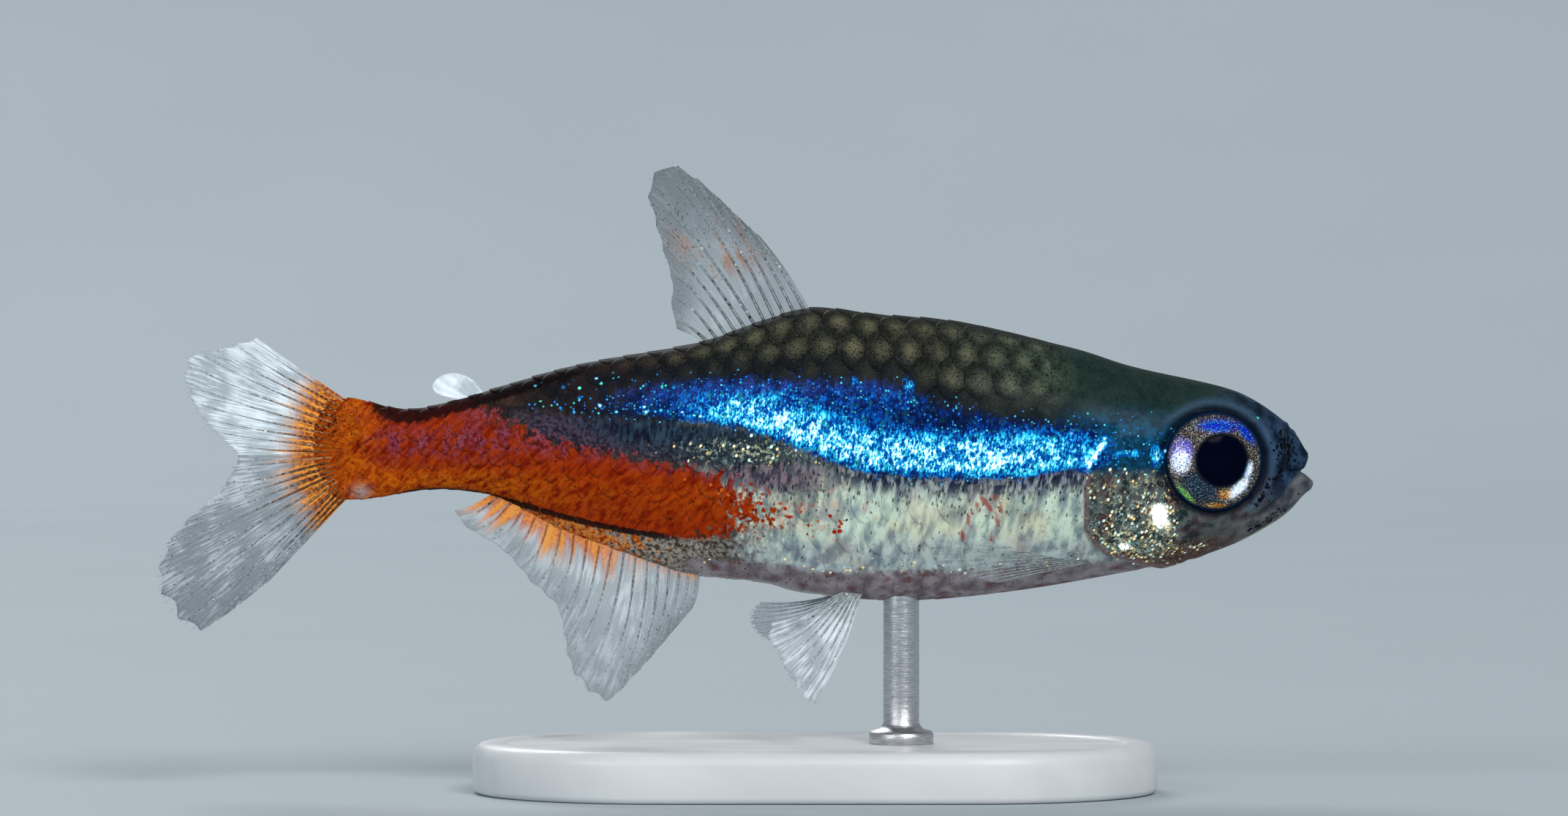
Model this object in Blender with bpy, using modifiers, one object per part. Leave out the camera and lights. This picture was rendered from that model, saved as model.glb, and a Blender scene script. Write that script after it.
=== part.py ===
"""A neon tetra, Paracheirodon innesi, as a still life-size model on a display stand.

The fish swims towards +X with its back up, and its two sides mirror each other in the plane Y = 0, apart from
the tail fin, whose lobes curl to opposite sides. The floor is Z = 0. Every size below is in millimetres.
"""

import math

import bmesh
import bpy
from mathutils import Matrix, Vector

MM = 0.001
GAP = 0.1  # clearance between neighbouring pieces
TOTAL_LENGTH = 32.0  # snout to the end of the tail fin
SNOUT_X = TOTAL_LENGTH / 2

# The body's side outline, as (distance along X, height Z), from the tail root to the lips.
TAIL_ROOT_X = -11.3
BACK = [
    (TAIL_ROOT_X, 10.95), (-10.6, 10.98), (-9.4, 10.70), (-8.6, 10.74), (-7.4, 11.05), (-4.5, 11.89),
    (-0.9, 12.57), (0.7, 13.13), (2.1, 13.50), (4.0, 13.32), (6.0, 13.15), (7.6, 12.85), (9.2, 12.43),
    (10.9, 11.86), (13.3, 11.32), (14.1, 11.05), (14.9, 10.56), (15.5, 10.02), (15.86, 9.46),
]
BELLY = [
    (TAIL_ROOT_X, 8.05), (-10.3, 8.08), (-8.6, 8.34), (-7.4, 8.30), (-6.4, 8.05), (-5.0, 7.30), (-3.0, 6.56),
    (-1.3, 6.00), (0.7, 5.77), (1.9, 5.48), (4.6, 5.27), (7.6, 5.50), (10.5, 5.98), (12.1, 6.31),
    (13.7, 6.84), (14.5, 7.23), (15.3, 7.76), (15.86, 8.40),
]
HALF_WIDTH = [
    (TAIL_ROOT_X, 0.22), (-10.3, 0.42), (-8.6, 0.62), (-6.0, 0.92), (-3.0, 1.30), (0.0, 1.66), (3.0, 1.93),
    (6.0, 2.08), (8.5, 2.10), (10.5, 2.02), (12.0, 1.86), (13.2, 1.66), (14.1, 1.40), (14.9, 1.08),
    (15.5, 0.75), (15.86, 0.46),
]
WIDEST_AT = 0.54  # height of the widest point, as a share of the section's depth
# How sharply a section narrows towards the belly: 1 is an ellipse, more is a keel.
KEEL = [(TAIL_ROOT_X, 1.0), (-8.0, 1.05), (-5.5, 2.0), (-2.0, 1.9), (0.5, 1.3), (4.0, 1.0), (10.0, 1.1), (15.86, 1.2)]
SECTIONS = 46
AROUND = 28
LIPS_X = 15.86  # the last section; the lips close in front of it
LOWER_LIP_REACH = 0.14

EYE_X, EYE_Y, EYE_Z = 13.25, 1.20, 9.20
EYE_RADIUS = 1.42
EYE_HALF_DEPTH = 0.75
EYE_TURN = 12.0  # degrees that each eye looks forward of straight out

GILL_X, GILL_Z = 10.65, 8.20
GILL_HALF_LENGTH, GILL_HALF_HEIGHT = 1.05, 1.75
GILL_INNER_Y = 1.0
NAPE_X, THROAT_X = 10.0, 11.3
STEM_X = -6.6  # where the trunk is parted from the tail stem

# The lower jaw is what lies below the mouth line and in front of the jaw joint.
MOUTH_Z = 9.03
JAW_JOINT_X, JAW_JOINT_Z = 13.9, 7.72
CHIN_X = 13.5

FIN_THICKNESS = 0.5
FIN_ROOT = 0.45  # how far a fin is drawn into the body before the body is cut from it
SCALLOP = 0.04  # share of a ray's length by which the web falls short between two rays
FORK_Z = 9.36  # the height at which the tail fin forks

STAND_X = 2.2
BASE_LENGTH, BASE_WIDTH, BASE_HEIGHT = 19.0, 11.0, 1.4
BASE_CORNER = 5.4
BASE_BEVEL = 0.25
ROD_X = 4.6
ROD_RADIUS = 0.5
ROD_INTO_BELLY = 1.2

SKIN = ("fish_skin", (0.16, 0.20, 0.22), 0.35, 0.2)
RED_SKIN = ("red_skin", (0.55, 0.05, 0.01), 0.4, 0.0)
SILVER_SKIN = ("silver_skin", (0.62, 0.64, 0.60), 0.3, 0.4)
CLEAR_FIN = ("clear_fin", (0.72, 0.76, 0.78), 0.35, 0.0)
EYE = ("eye", (0.02, 0.03, 0.05), 0.08, 0.0)
STAND = ("stand_plastic", (0.78, 0.79, 0.80), 0.45, 0.0)
STEEL = ("stand_steel", (0.62, 0.62, 0.63), 0.25, 1.0)


def clear_scene():
    for obj in list(bpy.data.objects):
        bpy.data.objects.remove(obj, do_unlink=True)


def new_collection(name):
    collection = bpy.data.collections.new(name)
    bpy.context.scene.collection.children.link(collection)
    return collection


def material(name, colour, roughness, metallic):
    made = bpy.data.materials.get(name)
    if made is None:
        made = bpy.data.materials.new(name)
        made.use_nodes = True
        shader = made.node_tree.nodes["Principled BSDF"]
        shader.inputs["Base Color"].default_value = (*colour, 1.0)
        shader.inputs["Roughness"].default_value = roughness
        shader.inputs["Metallic"].default_value = metallic
    return made


def curve_through(points):
    """A smooth function through (x, value) points, level beyond its ends."""

    def slope(k):
        before, after = points[max(k - 1, 0)], points[min(k + 1, len(points) - 1)]
        return (after[1] - before[1]) / (after[0] - before[0])

    def value(x):
        if x <= points[0][0]:
            return points[0][1]
        for k in range(len(points) - 1):
            (x0, v0), (x1, v1) = points[k], points[k + 1]
            if x <= x1:
                span = x1 - x0
                t = (x - x0) / span
                bend0, bend1 = slope(k) * span, slope(k + 1) * span
                rise = v1 - v0
                return v0 + t * (bend0 + t * (3 * rise - 2 * bend0 - bend1 + t * (bend0 + bend1 - 2 * rise)))
        return points[-1][1]

    return value


def line_through(points):
    """A smooth (x, z) line through points, as a function of the share of the way along it."""
    along = [0.0]
    for a, b in zip(points, points[1:]):
        along.append(along[-1] + math.dist(a, b))
    x_of = curve_through([(s / along[-1], p[0]) for s, p in zip(along, points)])
    z_of = curve_through([(s / along[-1], p[1]) for s, p in zip(along, points)])
    return lambda share: (x_of(share), z_of(share))


back_z = curve_through(BACK)
belly_z = curve_through(BELLY)
half_width = curve_through(HALF_WIDTH)
keel = curve_through(KEEL)


def body_point(x, angle, grow=0.0):
    """A point of the body's surface in the section at x. Angle 0 is the left side and a quarter turn is the back."""
    top, bottom, wide = back_z(x) + grow, belly_z(x) - grow, half_width(x) + grow
    middle = bottom + WIDEST_AT * (top - bottom)
    rise, side = math.sin(angle), math.cos(angle)
    sharpness = 1.0 if rise > 0 else keel(x)
    y = math.copysign(wide * abs(side) ** sharpness, side)
    z = middle + rise * (top - middle if rise > 0 else middle - bottom)
    return Vector((x, y, z))


def flank_y(x, z):
    """Half the body's thickness at this place of its side view."""
    top, bottom = back_z(x), belly_z(x)
    middle = bottom + WIDEST_AT * (top - bottom)
    rise = (z - middle) / (top - middle if z > middle else middle - bottom)
    return half_width(x) * math.sqrt(max(0.0, 1 - rise * rise)) ** (1.0 if z > middle else keel(x))


def new_mesh_object(name, bm, collection, look):
    bmesh.ops.recalc_face_normals(bm, faces=bm.faces)
    mesh = bpy.data.meshes.new(name)
    bm.to_mesh(mesh)
    bm.free()
    obj = bpy.data.objects.new(name, mesh)
    collection.objects.link(obj)
    if look:
        mesh.materials.append(material(*look))
    return obj


def body_solid(name, collection, grow=0.0):
    """The whole body: a sphere whose rings are drawn out into the body's sections, with its poles at the tail
    root and between the lips."""
    bm = bmesh.new()
    bmesh.ops.create_uvsphere(bm, u_segments=AROUND, v_segments=SECTIONS + 1, radius=1.0)
    for vertex in bm.verts:
        ring = round(math.acos(max(-1.0, min(1.0, vertex.co.z))) / math.pi * (SECTIONS + 1))
        angle = math.atan2(vertex.co.y, vertex.co.x)
        share = (ring - 1) / (SECTIONS - 1)
        if ring == 0:
            place = Vector((TAIL_ROOT_X - 0.1 - grow, 0, (back_z(TAIL_ROOT_X) + belly_z(TAIL_ROOT_X)) / 2))
        elif ring == SECTIONS + 1:
            place = Vector((LIPS_X + 0.05 + grow, 0, MOUTH_Z))
        else:
            # Sections crowd towards the snout, where the outline turns fastest.
            x = TAIL_ROOT_X + (LIPS_X - TAIL_ROOT_X) * (1 - (1 - share) ** 1.25)
            place = body_point(x, angle, grow)
            if ring == SECTIONS and place.z < MOUTH_Z:
                place.x += LOWER_LIP_REACH
        vertex.co = place * MM
    return new_mesh_object(name, bm, collection, None)


def prism(name, outline, y_from, y_to, collection):
    """A closed outline in the XZ plane, as a solid from y_from to y_to."""
    curve = bpy.data.curves.new(name, "CURVE")
    curve.dimensions = "2D"
    curve.fill_mode = "BOTH"
    curve.extrude = abs(y_to - y_from) / 2 * MM
    spline = curve.splines.new("POLY")
    spline.points.add(len(outline) - 1)
    for point, (x, z) in zip(spline.points, outline):
        point.co = (x * MM, z * MM, 0, 1)
    spline.use_cyclic_u = True
    flat = bpy.data.objects.new(name, curve)
    flat.matrix_world = Matrix.Translation((0, (y_from + y_to) / 2 * MM, 0)) @ Matrix.Rotation(math.pi / 2, 4, "X")
    collection.objects.link(flat)
    return mesh_of(flat, collection)


def mesh_of(obj, collection):
    """The evaluated shape of an object as a plain mesh object that takes its place."""
    bpy.context.view_layer.update()
    evaluated = obj.evaluated_get(bpy.context.evaluated_depsgraph_get())
    mesh = bpy.data.meshes.new_from_object(evaluated)
    bm = bmesh.new()
    bm.from_mesh(mesh)
    bmesh.ops.remove_doubles(bm, verts=bm.verts, dist=1e-7)
    bmesh.ops.recalc_face_normals(bm, faces=bm.faces)
    bm.to_mesh(mesh)
    bm.free()
    name, place = obj.name, obj.matrix_world.copy()
    bpy.data.objects.remove(obj, do_unlink=True)
    made = bpy.data.objects.new(name, mesh)
    made.matrix_world = place
    collection.objects.link(made)
    return made


def hide_helper(obj):
    obj.hide_render = True
    obj.display_type = "WIRE"
    return obj


def cut(obj, cutter, operation="DIFFERENCE"):
    modifier = obj.modifiers.new(operation.lower() + "_" + cutter.name, "BOOLEAN")
    modifier.operation = operation
    modifier.object = hide_helper(cutter)
    modifier.use_self = True


def ellipse(centre_x, centre_z, half_length, half_height, start=0.0, end=360.0, steps=24):
    """Points of an ellipse's arc in the XZ plane, in degrees from the front."""
    angles = [math.radians(start + (end - start) * k / steps) for k in range(steps + 1)]
    return [(centre_x + half_length * math.cos(a), centre_z + half_height * math.sin(a)) for a in angles]


def head_zone(shift):
    """The outline of all that lies in front of the gill slit: down the nape, round the gill cover's hind edge and
    out at the throat. A negative shift moves the slit back."""
    slit = [(NAPE_X, 20.0), (NAPE_X, 11.5)]
    slit += ellipse(GILL_X, GILL_Z, GILL_HALF_LENGTH, GILL_HALF_HEIGHT, 112, 258, 14)
    slit += [(THROAT_X, 5.9), (THROAT_X + 0.4, 3.0)]
    ahead = SNOUT_X + 4
    return [(x + shift, z) for x, z in slit] + [(ahead, 3.0), (ahead, 20.0)]


def jaw_zone(grow):
    """The outline of the lower jaw's space, below the mouth line and in front of the jaw joint."""
    ahead = SNOUT_X + 4
    slope = (MOUTH_Z - JAW_JOINT_Z) / (LIPS_X - JAW_JOINT_X)
    front_z = JAW_JOINT_Z + slope * (ahead - JAW_JOINT_X)
    return [
        (JAW_JOINT_X - grow, JAW_JOINT_Z + grow), (ahead, front_z + grow), (ahead, 3.0), (CHIN_X - grow, 3.0),
        (CHIN_X - grow, 6.0),
    ]


def copy_of(obj, name, collection, look):
    made = bpy.data.objects.new(name, obj.data.copy())
    made.data.materials.clear()
    made.data.materials.append(material(*look))
    collection.objects.link(made)
    return made


def eyeball(name, side, grow, collection, look):
    bm = bmesh.new()
    bmesh.ops.create_uvsphere(bm, u_segments=24, v_segments=14, radius=1.0)
    size = Matrix.Diagonal(((EYE_RADIUS + grow) * MM, (EYE_RADIUS + grow) * MM, (EYE_HALF_DEPTH + grow) * MM, 1))
    turn = Matrix.Rotation(-side * math.radians(EYE_TURN), 4, "Z") @ Matrix.Rotation(math.pi / 2, 4, "X")
    bmesh.ops.transform(bm, matrix=turn @ size, verts=bm.verts)
    bmesh.ops.translate(bm, vec=Vector((EYE_X, side * EYE_Y, EYE_Z)) * MM, verts=bm.verts)
    return new_mesh_object(name, bm, collection, look)


def make_flesh(fish, cutters):
    """The head, jaw, gill covers, trunk and tail stem: the whole body parted with thin cuts."""
    whole = hide_helper(body_solid("whole_body", cutters))
    head = copy_of(whole, "head", fish, SKIN)
    jaw = copy_of(whole, "lower_jaw", fish, SKIN)
    trunk = copy_of(whole, "trunk", fish, SKIN)
    stem = copy_of(whole, "tail_stem", fish, RED_SKIN)

    cut(head, prism("head_zone", head_zone(0), -9, 9, cutters), "INTERSECT")
    cut(head, prism("jaw_room", jaw_zone(GAP), -9, 9, cutters))
    cut(jaw, prism("jaw_zone", jaw_zone(0), -9, 9, cutters), "INTERSECT")
    cut(trunk, prism("slit_room", head_zone(-GAP), -9, 9, cutters))
    behind = [(STEM_X, 2.0), (STEM_X, 20.0), (-30.0, 20.0), (-30.0, 2.0)]
    cut(stem, prism("stem_zone", behind, -9, 9, cutters), "INTERSECT")
    cut(trunk, prism("stem_room", [(x + GAP, z) for x, z in behind], -9, 9, cutters))

    for side, word in ((1, "left"), (-1, "right")):
        cover = copy_of(whole, "gill_cover_" + word, fish, SILVER_SKIN)
        oval = ellipse(GILL_X, GILL_Z, GILL_HALF_LENGTH, GILL_HALF_HEIGHT)[:-1]
        room = ellipse(GILL_X, GILL_Z, GILL_HALF_LENGTH + GAP, GILL_HALF_HEIGHT + GAP)[:-1]
        cut(cover, prism("cover_zone_" + word, oval, side * GILL_INNER_Y, side * 9, cutters), "INTERSECT")
        cut(head, prism("cover_room_" + word, room, side * (GILL_INNER_Y - GAP), side * 9, cutters))
        eyeball("eye_" + word, side, 0, fish, EYE)
        cut(head, eyeball("socket_" + word, side, GAP, cutters, None))
    return trunk


def make_fin(name, base, tips, rays, fish, bow=0.0, sway=None, along=6, crowd=1.0, look=CLEAR_FIN):
    """A fin as a sheet of rays, each from its root on the base line to its tip on the edge line.

    bow bends every ray forwards in its middle, as a share of its length. sway gives the sideways place of a point
    from (x, z), and crowd over 1 packs the rays towards the front of the base."""
    base_at, tip_at = line_through(base), line_through(tips)
    columns = 2 * rays - 1
    bm = bmesh.new()
    bmesh.ops.create_grid(bm, x_segments=columns - 1, y_segments=along, size=1.0)
    for vertex in bm.verts:
        column = round((vertex.co.x + 1) / 2 * (columns - 1))
        reach = (vertex.co.y + 1) / 2
        share = column / (columns - 1)
        root, tip = base_at(share**crowd), tip_at(share)
        ray_x, ray_z = tip[0] - root[0], tip[1] - root[1]
        length = math.hypot(ray_x, ray_z)
        start = -FIN_ROOT / length
        end = 1 - SCALLOP * (column % 2)
        t = start + (end - start) * reach
        arch = bow * math.sin(math.pi * max(t, 0.0))
        x = root[0] + ray_x * t + arch * abs(ray_z)
        z = root[1] + ray_z * t - arch * ray_x * (1 if ray_z > 0 else -1)
        y = sway(x, z) if sway else 0.0
        vertex.co = Vector((x, y, z)) * MM
    obj = new_mesh_object(name, bm, fish, look)
    thick = obj.modifiers.new("thickness", "SOLIDIFY")
    thick.thickness = FIN_THICKNESS * MM
    thick.offset = 0.0
    return obj


def tail_curl(x, z):
    """The tail fin's upper lobe curls to the left and its lower lobe, less, to the right."""
    behind = max(0.0, TAIL_ROOT_X + 0.3 - x)
    lobe = max(-1.0, min(1.0, (z - FORK_Z) / 1.6))
    return (0.085 if lobe > 0 else 0.03) * lobe * behind * behind


def make_fins(fish, room):
    """All the fins, each cut back to just outside the body."""
    fins = [
        make_fin(
            "dorsal_fin", [(2.05, 13.42), (-1.0, 12.55)],
            [(0.64, 15.49), (-1.76, 17.52), (-2.45, 16.95), (-2.25, 15.80), (-1.80, 14.20), (-1.80, 13.50),
             (-1.65, 12.88)], 11, fish, bow=0.03,
        ),
        make_fin(
            "anal_fin", [(-1.0, 6.02), (-2.93, 6.60), (-4.96, 7.35), (-6.9, 8.22)],
            [(-1.21, 5.08), (-3.44, 2.54), (-3.85, 2.50), (-4.62, 3.39), (-4.96, 5.05), (-5.82, 5.95),
             (-6.53, 6.76), (-7.50, 7.35), (-7.85, 7.82)], 18, fish, bow=0.06, crowd=1.2,
        ),
        make_fin(
            "tail_fin_upper", [(-10.9, 10.95), (-11.25, 10.25), (-11.35, FORK_Z + GAP / 2)],
            [(-13.40, 12.64), (-14.61, 12.34), (-15.46, 12.12), (-15.48, 11.20), (-14.95, 10.37),
             (-13.84, FORK_Z + GAP / 2)], 10, fish, sway=tail_curl, along=8,
        ),
        make_fin(
            "tail_fin_lower", [(-11.35, FORK_Z - GAP / 2), (-11.25, 8.75), (-10.9, 8.05)],
            [(-13.84, FORK_Z - GAP / 2), (-14.34, 8.42), (-15.15, 7.65), (-15.90, 6.70), (-15.95, 5.54),
             (-15.00, 4.47), (-14.30, 4.81), (-12.98, 5.85)], 11, fish, sway=tail_curl, along=8,
        ),
        make_fin(
            "adipose_fin", [(-7.25, 11.10), (-7.8, 10.92)],
            [(-7.60, 11.55), (-8.00, 11.66), (-8.40, 11.45), (-8.45, 11.20), (-8.10, 10.98)], 5, fish, along=4,
        ),
    ]
    # The right pelvic fin hangs down, and the left one is swept back and spread further out.
    pelvic_right = [(2.16, 2.46), (1.83, 2.68), (1.42, 3.29), (1.18, 3.84), (0.87, 4.25), (0.95, 4.70)]
    pelvic_left = [(0.85, 4.12), (0.50, 4.40), (0.37, 4.72), (0.42, 5.02), (0.65, 5.25)]
    for word, tips, spread in (("left", pelvic_left, 1.3), ("right", pelvic_right, -0.36)):
        fins.append(
            make_fin(
                "pelvic_fin_" + word, [(3.46, 5.40), (2.70, 5.45)], tips, 8, fish, bow=0.04,
                sway=lambda x, z, spread=spread: math.copysign(0.5, spread) + spread * (5.45 - z),
            )
        )
    for side, word in ((1, "left"), (-1, "right")):
        fins.append(
            make_fin(
                "pectoral_fin_" + word, [(9.25, 6.75), (9.35, 6.30)],
                [(5.10, 7.15), (5.15, 6.75), (5.60, 6.30), (6.40, 6.00), (7.20, 5.85)], 10, fish,
                sway=lambda x, z, side=side: side * (flank_y(9.3, 6.5) - 0.1 + 0.22 * (9.3 - x)),
            )
        )
    for fin in fins:
        cut(fin, room)


def make_stand(trunk, stand, cutters):
    """A flat base with rounded corners, and a rod that goes up into a socket in the belly."""
    bm = bmesh.new()
    bmesh.ops.create_cube(bm, size=1.0)
    bmesh.ops.scale(bm, vec=(BASE_LENGTH * MM, BASE_WIDTH * MM, BASE_HEIGHT * MM), verts=bm.verts)
    bmesh.ops.translate(bm, vec=(STAND_X * MM, 0, BASE_HEIGHT / 2 * MM), verts=bm.verts)
    uprights = [e for e in bm.edges if abs(e.verts[0].co.z - e.verts[1].co.z) > 1e-6]
    bmesh.ops.bevel(bm, geom=uprights, offset=BASE_CORNER * MM, segments=10, profile=0.5, affect="EDGES")
    base = new_mesh_object("stand_base", bm, stand, STAND)
    soften = base.modifiers.new("edge", "BEVEL")
    soften.width = BASE_BEVEL * MM
    soften.segments = 2
    soften.limit_method = "ANGLE"

    top = belly_z(ROD_X) + ROD_INTO_BELLY
    rod_cylinder("stand_rod", ROD_RADIUS, BASE_HEIGHT - 0.6, top, stand, STEEL)
    cut(base, rod_cylinder("rod_seat", ROD_RADIUS + GAP / 2, BASE_HEIGHT - 0.6 - GAP / 2, 4.0, cutters, None))
    cut(trunk, rod_cylinder("rod_socket", ROD_RADIUS + GAP / 2, 2.0, top + GAP / 2, cutters, None))


def rod_cylinder(name, radius, low, high, collection, look):
    bm = bmesh.new()
    bmesh.ops.create_cone(
        bm, cap_ends=True, segments=20, radius1=radius * MM, radius2=radius * MM, depth=(high - low) * MM
    )
    bmesh.ops.translate(bm, vec=(ROD_X * MM, 0, (low + high) / 2 * MM), verts=bm.verts)
    return new_mesh_object(name, bm, collection, look)


def main():
    clear_scene()
    fish = new_collection("neon_tetra")
    cutters = new_collection("cutters")
    trunk = make_flesh(fish, cutters)
    make_fins(fish, hide_helper(body_solid("body_room", cutters, grow=GAP)))
    make_stand(trunk, fish, cutters)


main()
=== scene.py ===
"""Looks of the neon tetra model: its skin and scales, eyes, fins, display stand, camera and lights.

The CAD frame is in metres. Shapes here are worked out in millimetres, and mesh_object scales them by MM. The
fish swims towards +X, with its back up, and its right side (-Y) faces the camera.
"""

import math

import bpy
import numpy as np
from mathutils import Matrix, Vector


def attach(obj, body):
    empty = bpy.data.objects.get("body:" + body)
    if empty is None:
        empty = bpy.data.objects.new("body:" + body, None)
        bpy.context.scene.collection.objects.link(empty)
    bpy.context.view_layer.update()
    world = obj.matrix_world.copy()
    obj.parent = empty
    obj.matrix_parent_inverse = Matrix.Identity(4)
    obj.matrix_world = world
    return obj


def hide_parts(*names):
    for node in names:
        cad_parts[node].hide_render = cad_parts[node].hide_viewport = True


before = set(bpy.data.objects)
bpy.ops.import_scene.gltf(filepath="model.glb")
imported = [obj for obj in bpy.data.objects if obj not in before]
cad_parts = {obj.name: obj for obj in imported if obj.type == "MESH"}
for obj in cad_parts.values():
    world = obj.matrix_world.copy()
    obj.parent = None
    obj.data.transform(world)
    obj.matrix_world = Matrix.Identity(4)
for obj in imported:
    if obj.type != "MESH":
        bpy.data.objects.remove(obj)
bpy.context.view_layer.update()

MM = 0.001
SEED = 7

# The photograph's frame: mm per pixel at the fish, and the place of X = 0, Z = 0 in it.
IMAGE_WIDTH, IMAGE_HEIGHT = 2144, 1116
MM_PER_PIXEL = 0.02033
ORIGIN_PX, ORIGIN_PY = 1006, 1083
LENS, SENSOR = 135.0, 36.0

# The body, as in the CAD: (X, height) along the back and belly, and the half widths.
TAIL_ROOT_X = -11.3
LIPS_X = 15.86
LOWER_LIP_REACH, LOWER_LIP_Z = 0.14, 8.58
BACK = [
    (TAIL_ROOT_X, 10.95), (-10.6, 10.98), (-9.4, 10.70), (-8.6, 10.74), (-7.4, 11.05), (-4.5, 11.89),
    (-0.9, 12.57), (0.7, 13.13), (2.1, 13.50), (4.0, 13.32), (6.0, 13.15), (7.6, 12.85), (9.2, 12.43),
    (10.9, 11.86), (13.3, 11.32), (14.1, 11.05), (14.9, 10.56), (15.5, 10.02), (15.86, 9.46),
]
BELLY = [
    (TAIL_ROOT_X, 8.05), (-10.3, 8.08), (-8.6, 8.34), (-7.4, 8.30), (-6.4, 8.05), (-5.0, 7.30), (-3.0, 6.56),
    (-1.3, 6.00), (0.7, 5.77), (1.9, 5.48), (4.6, 5.27), (7.6, 5.50), (10.5, 5.98), (12.1, 6.31),
    (13.7, 6.84), (14.5, 7.23), (15.3, 7.76), (15.86, 8.40),
]
HALF_WIDTH = [
    (TAIL_ROOT_X, 0.22), (-10.3, 0.42), (-8.6, 0.62), (-6.0, 0.92), (-3.0, 1.30), (0.0, 1.66), (3.0, 1.93),
    (6.0, 2.08), (8.5, 2.10), (10.5, 2.02), (12.0, 1.86), (13.2, 1.66), (14.1, 1.40), (14.9, 1.08),
    (15.5, 0.75), (15.86, 0.46),
]
WIDEST_AT = 0.54  # the share of the height at which the body is widest
# How sharp the belly is: 1 is round, and 2 is a keel.
KEEL = [
    (TAIL_ROOT_X, 1.0), (-8.0, 1.05), (-5.5, 2.0), (-2.0, 1.9), (0.5, 1.3), (4.0, 1.0), (10.0, 1.1),
    (15.86, 1.2),
]
EYE_X, EYE_Y, EYE_Z = 13.19, 1.20, 9.20
EYE_RADIUS, EYE_HALF_DEPTH = 1.42, 0.75
EYE_TURN = math.radians(12.0)

NAPE_X = 9.3
FORK_Z = 9.36
FIN_ROOT = 0.45  # how deep the fins' roots sit in the body

# The skin: how far it lies under the CAD surface where scales cover it, its grid, how far its two caps reach
# and the turns of their rings, the heights that they close on, the teeth that the flesh ends in on the tail
# fin, the eyes' sockets, and the X that its unwrap starts at and the length that it spans.
SCALE_DEPTH = 0.07
BODY_RINGS, HEAD_RINGS, HALF_COLUMNS = 228, 204, 104
TAIL_CAP, NOSE_CAP = 0.10, 0.04
CAP_TURNS = (15, 30, 45, 58, 70, 79, 85)
TAIL_MIDDLE_Z = 9.5
TOOTH_PITCH, TOOTH_LENGTH = 0.17, 0.16
MOUTH_NOTCH_Z = 8.92
ORBIT_RADIUS = 1.46
UNWRAP_START, UNWRAP_SPAN = -12.0, 29.0

# Scales: where the first and last ones root, the most rows there can be, the grid of each plate, the turns
# that its outline is rounded between, how many steps long it is and how much of its row's height half of it
# takes, its root's height, its rise to the hind edge, its thickness, and how wide its patch of the unwrap is.
SCALES_FROM, SCALES_TO, MOST_ROWS = 10.4, -10.15, 12
PLATE_ROWS, PLATE_COLUMNS, PLATE_TURNS = 11, 9, (-40.0, 85.0)
PLATE_LENGTH, PLATE_HALF = 1.75, 0.98
PLATE_ROOT, PLATE_LIFT, PLATE_THICKNESS = -0.008, 0.060, 0.012
PATCH = 0.003
# How far each scale lies from the next by the tail and how much further on the trunk, how far a root may
# stray, and how many rows there are on the trunk and how many fewer by the tail.
TAIL_PITCH, PITCH_GAIN, ROOT_SCATTER = 0.56, 0.22, 0.02
TRUNK_ROWS, ROWS_LOST = 11.0, 4.0

# Fins: the grid of a ray, a web's rows and its columns to each ray, the share of its length at which a ray
# branches, and how thick the webs and the adipose fin's flap are.
RAY_SIDES, RAY_RINGS = 8, 28
WEB_ROWS, WEB_COLUMNS = 30, 6
BRANCH_AT = 0.40
WEB_THICKNESS, FLAP_THICKNESS = 0.02, 0.16
FIN_VALUES = ("out", "across", "reach", "chance", "edge")

# Eyes: the grid, how deep the back is beside the front, and the pupil.
EYE_SPOKES, EYE_RINGS, EYE_BACK_RINGS = 128, 34, 5
EYE_BACK_SHARE = 0.8
PUPIL_AHEAD, PUPIL_UP, PUPIL_RADIUS = 0.19, 0.03, 0.69

# The floor, in linear colours, and how far it lies flat and then sweeps up; and the stand.
FLOOR_DARK, FLOOR_PALE = (0.41, 0.47, 0.51, 1.0), (0.45, 0.51, 0.55, 1.0)
FLOOR_SPOKES, FLOOR_FLAT, FLOOR_SWEEP = 96, 520, 380
STAND_X, BASE_HALF_LENGTH, BASE_HALF_WIDTH, BASE_CORNER = 2.2, 9.5, 5.5, 5.4
ROD_X, ROD_SPOKES = 4.6, 64
BASE_PROFILE = [  # (distance in from the rim, height)
    (0.18, 0.0), (0.04, 0.06), (0.0, 0.18), (0.0, 1.02), (0.03, 1.16), (0.10, 1.28), (0.20, 1.36),
    (0.34, 1.40), (0.80, 1.40), (0.86, 1.38), (0.92, 1.34), (0.98, 1.34), (2.0, 1.34), (3.6, 1.34),
    (5.2, 1.34),
]
ROD_PROFILE = [  # (radius, height)
    (0.45, 0.80), (0.50, 0.85), (0.50, 1.30), (0.86, 1.32), (0.90, 1.36), (0.90, 1.62), (0.84, 1.70),
    (0.62, 1.76), (0.56, 1.82), (0.50, 1.92), (0.50, 2.6), (0.50, 3.4), (0.50, 4.2), (0.50, 5.0),
    (0.50, 5.8), (0.47, 6.2), (0.40, 6.3),
]
SIDES = ((1, "left"), (-1, "right"))


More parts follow.
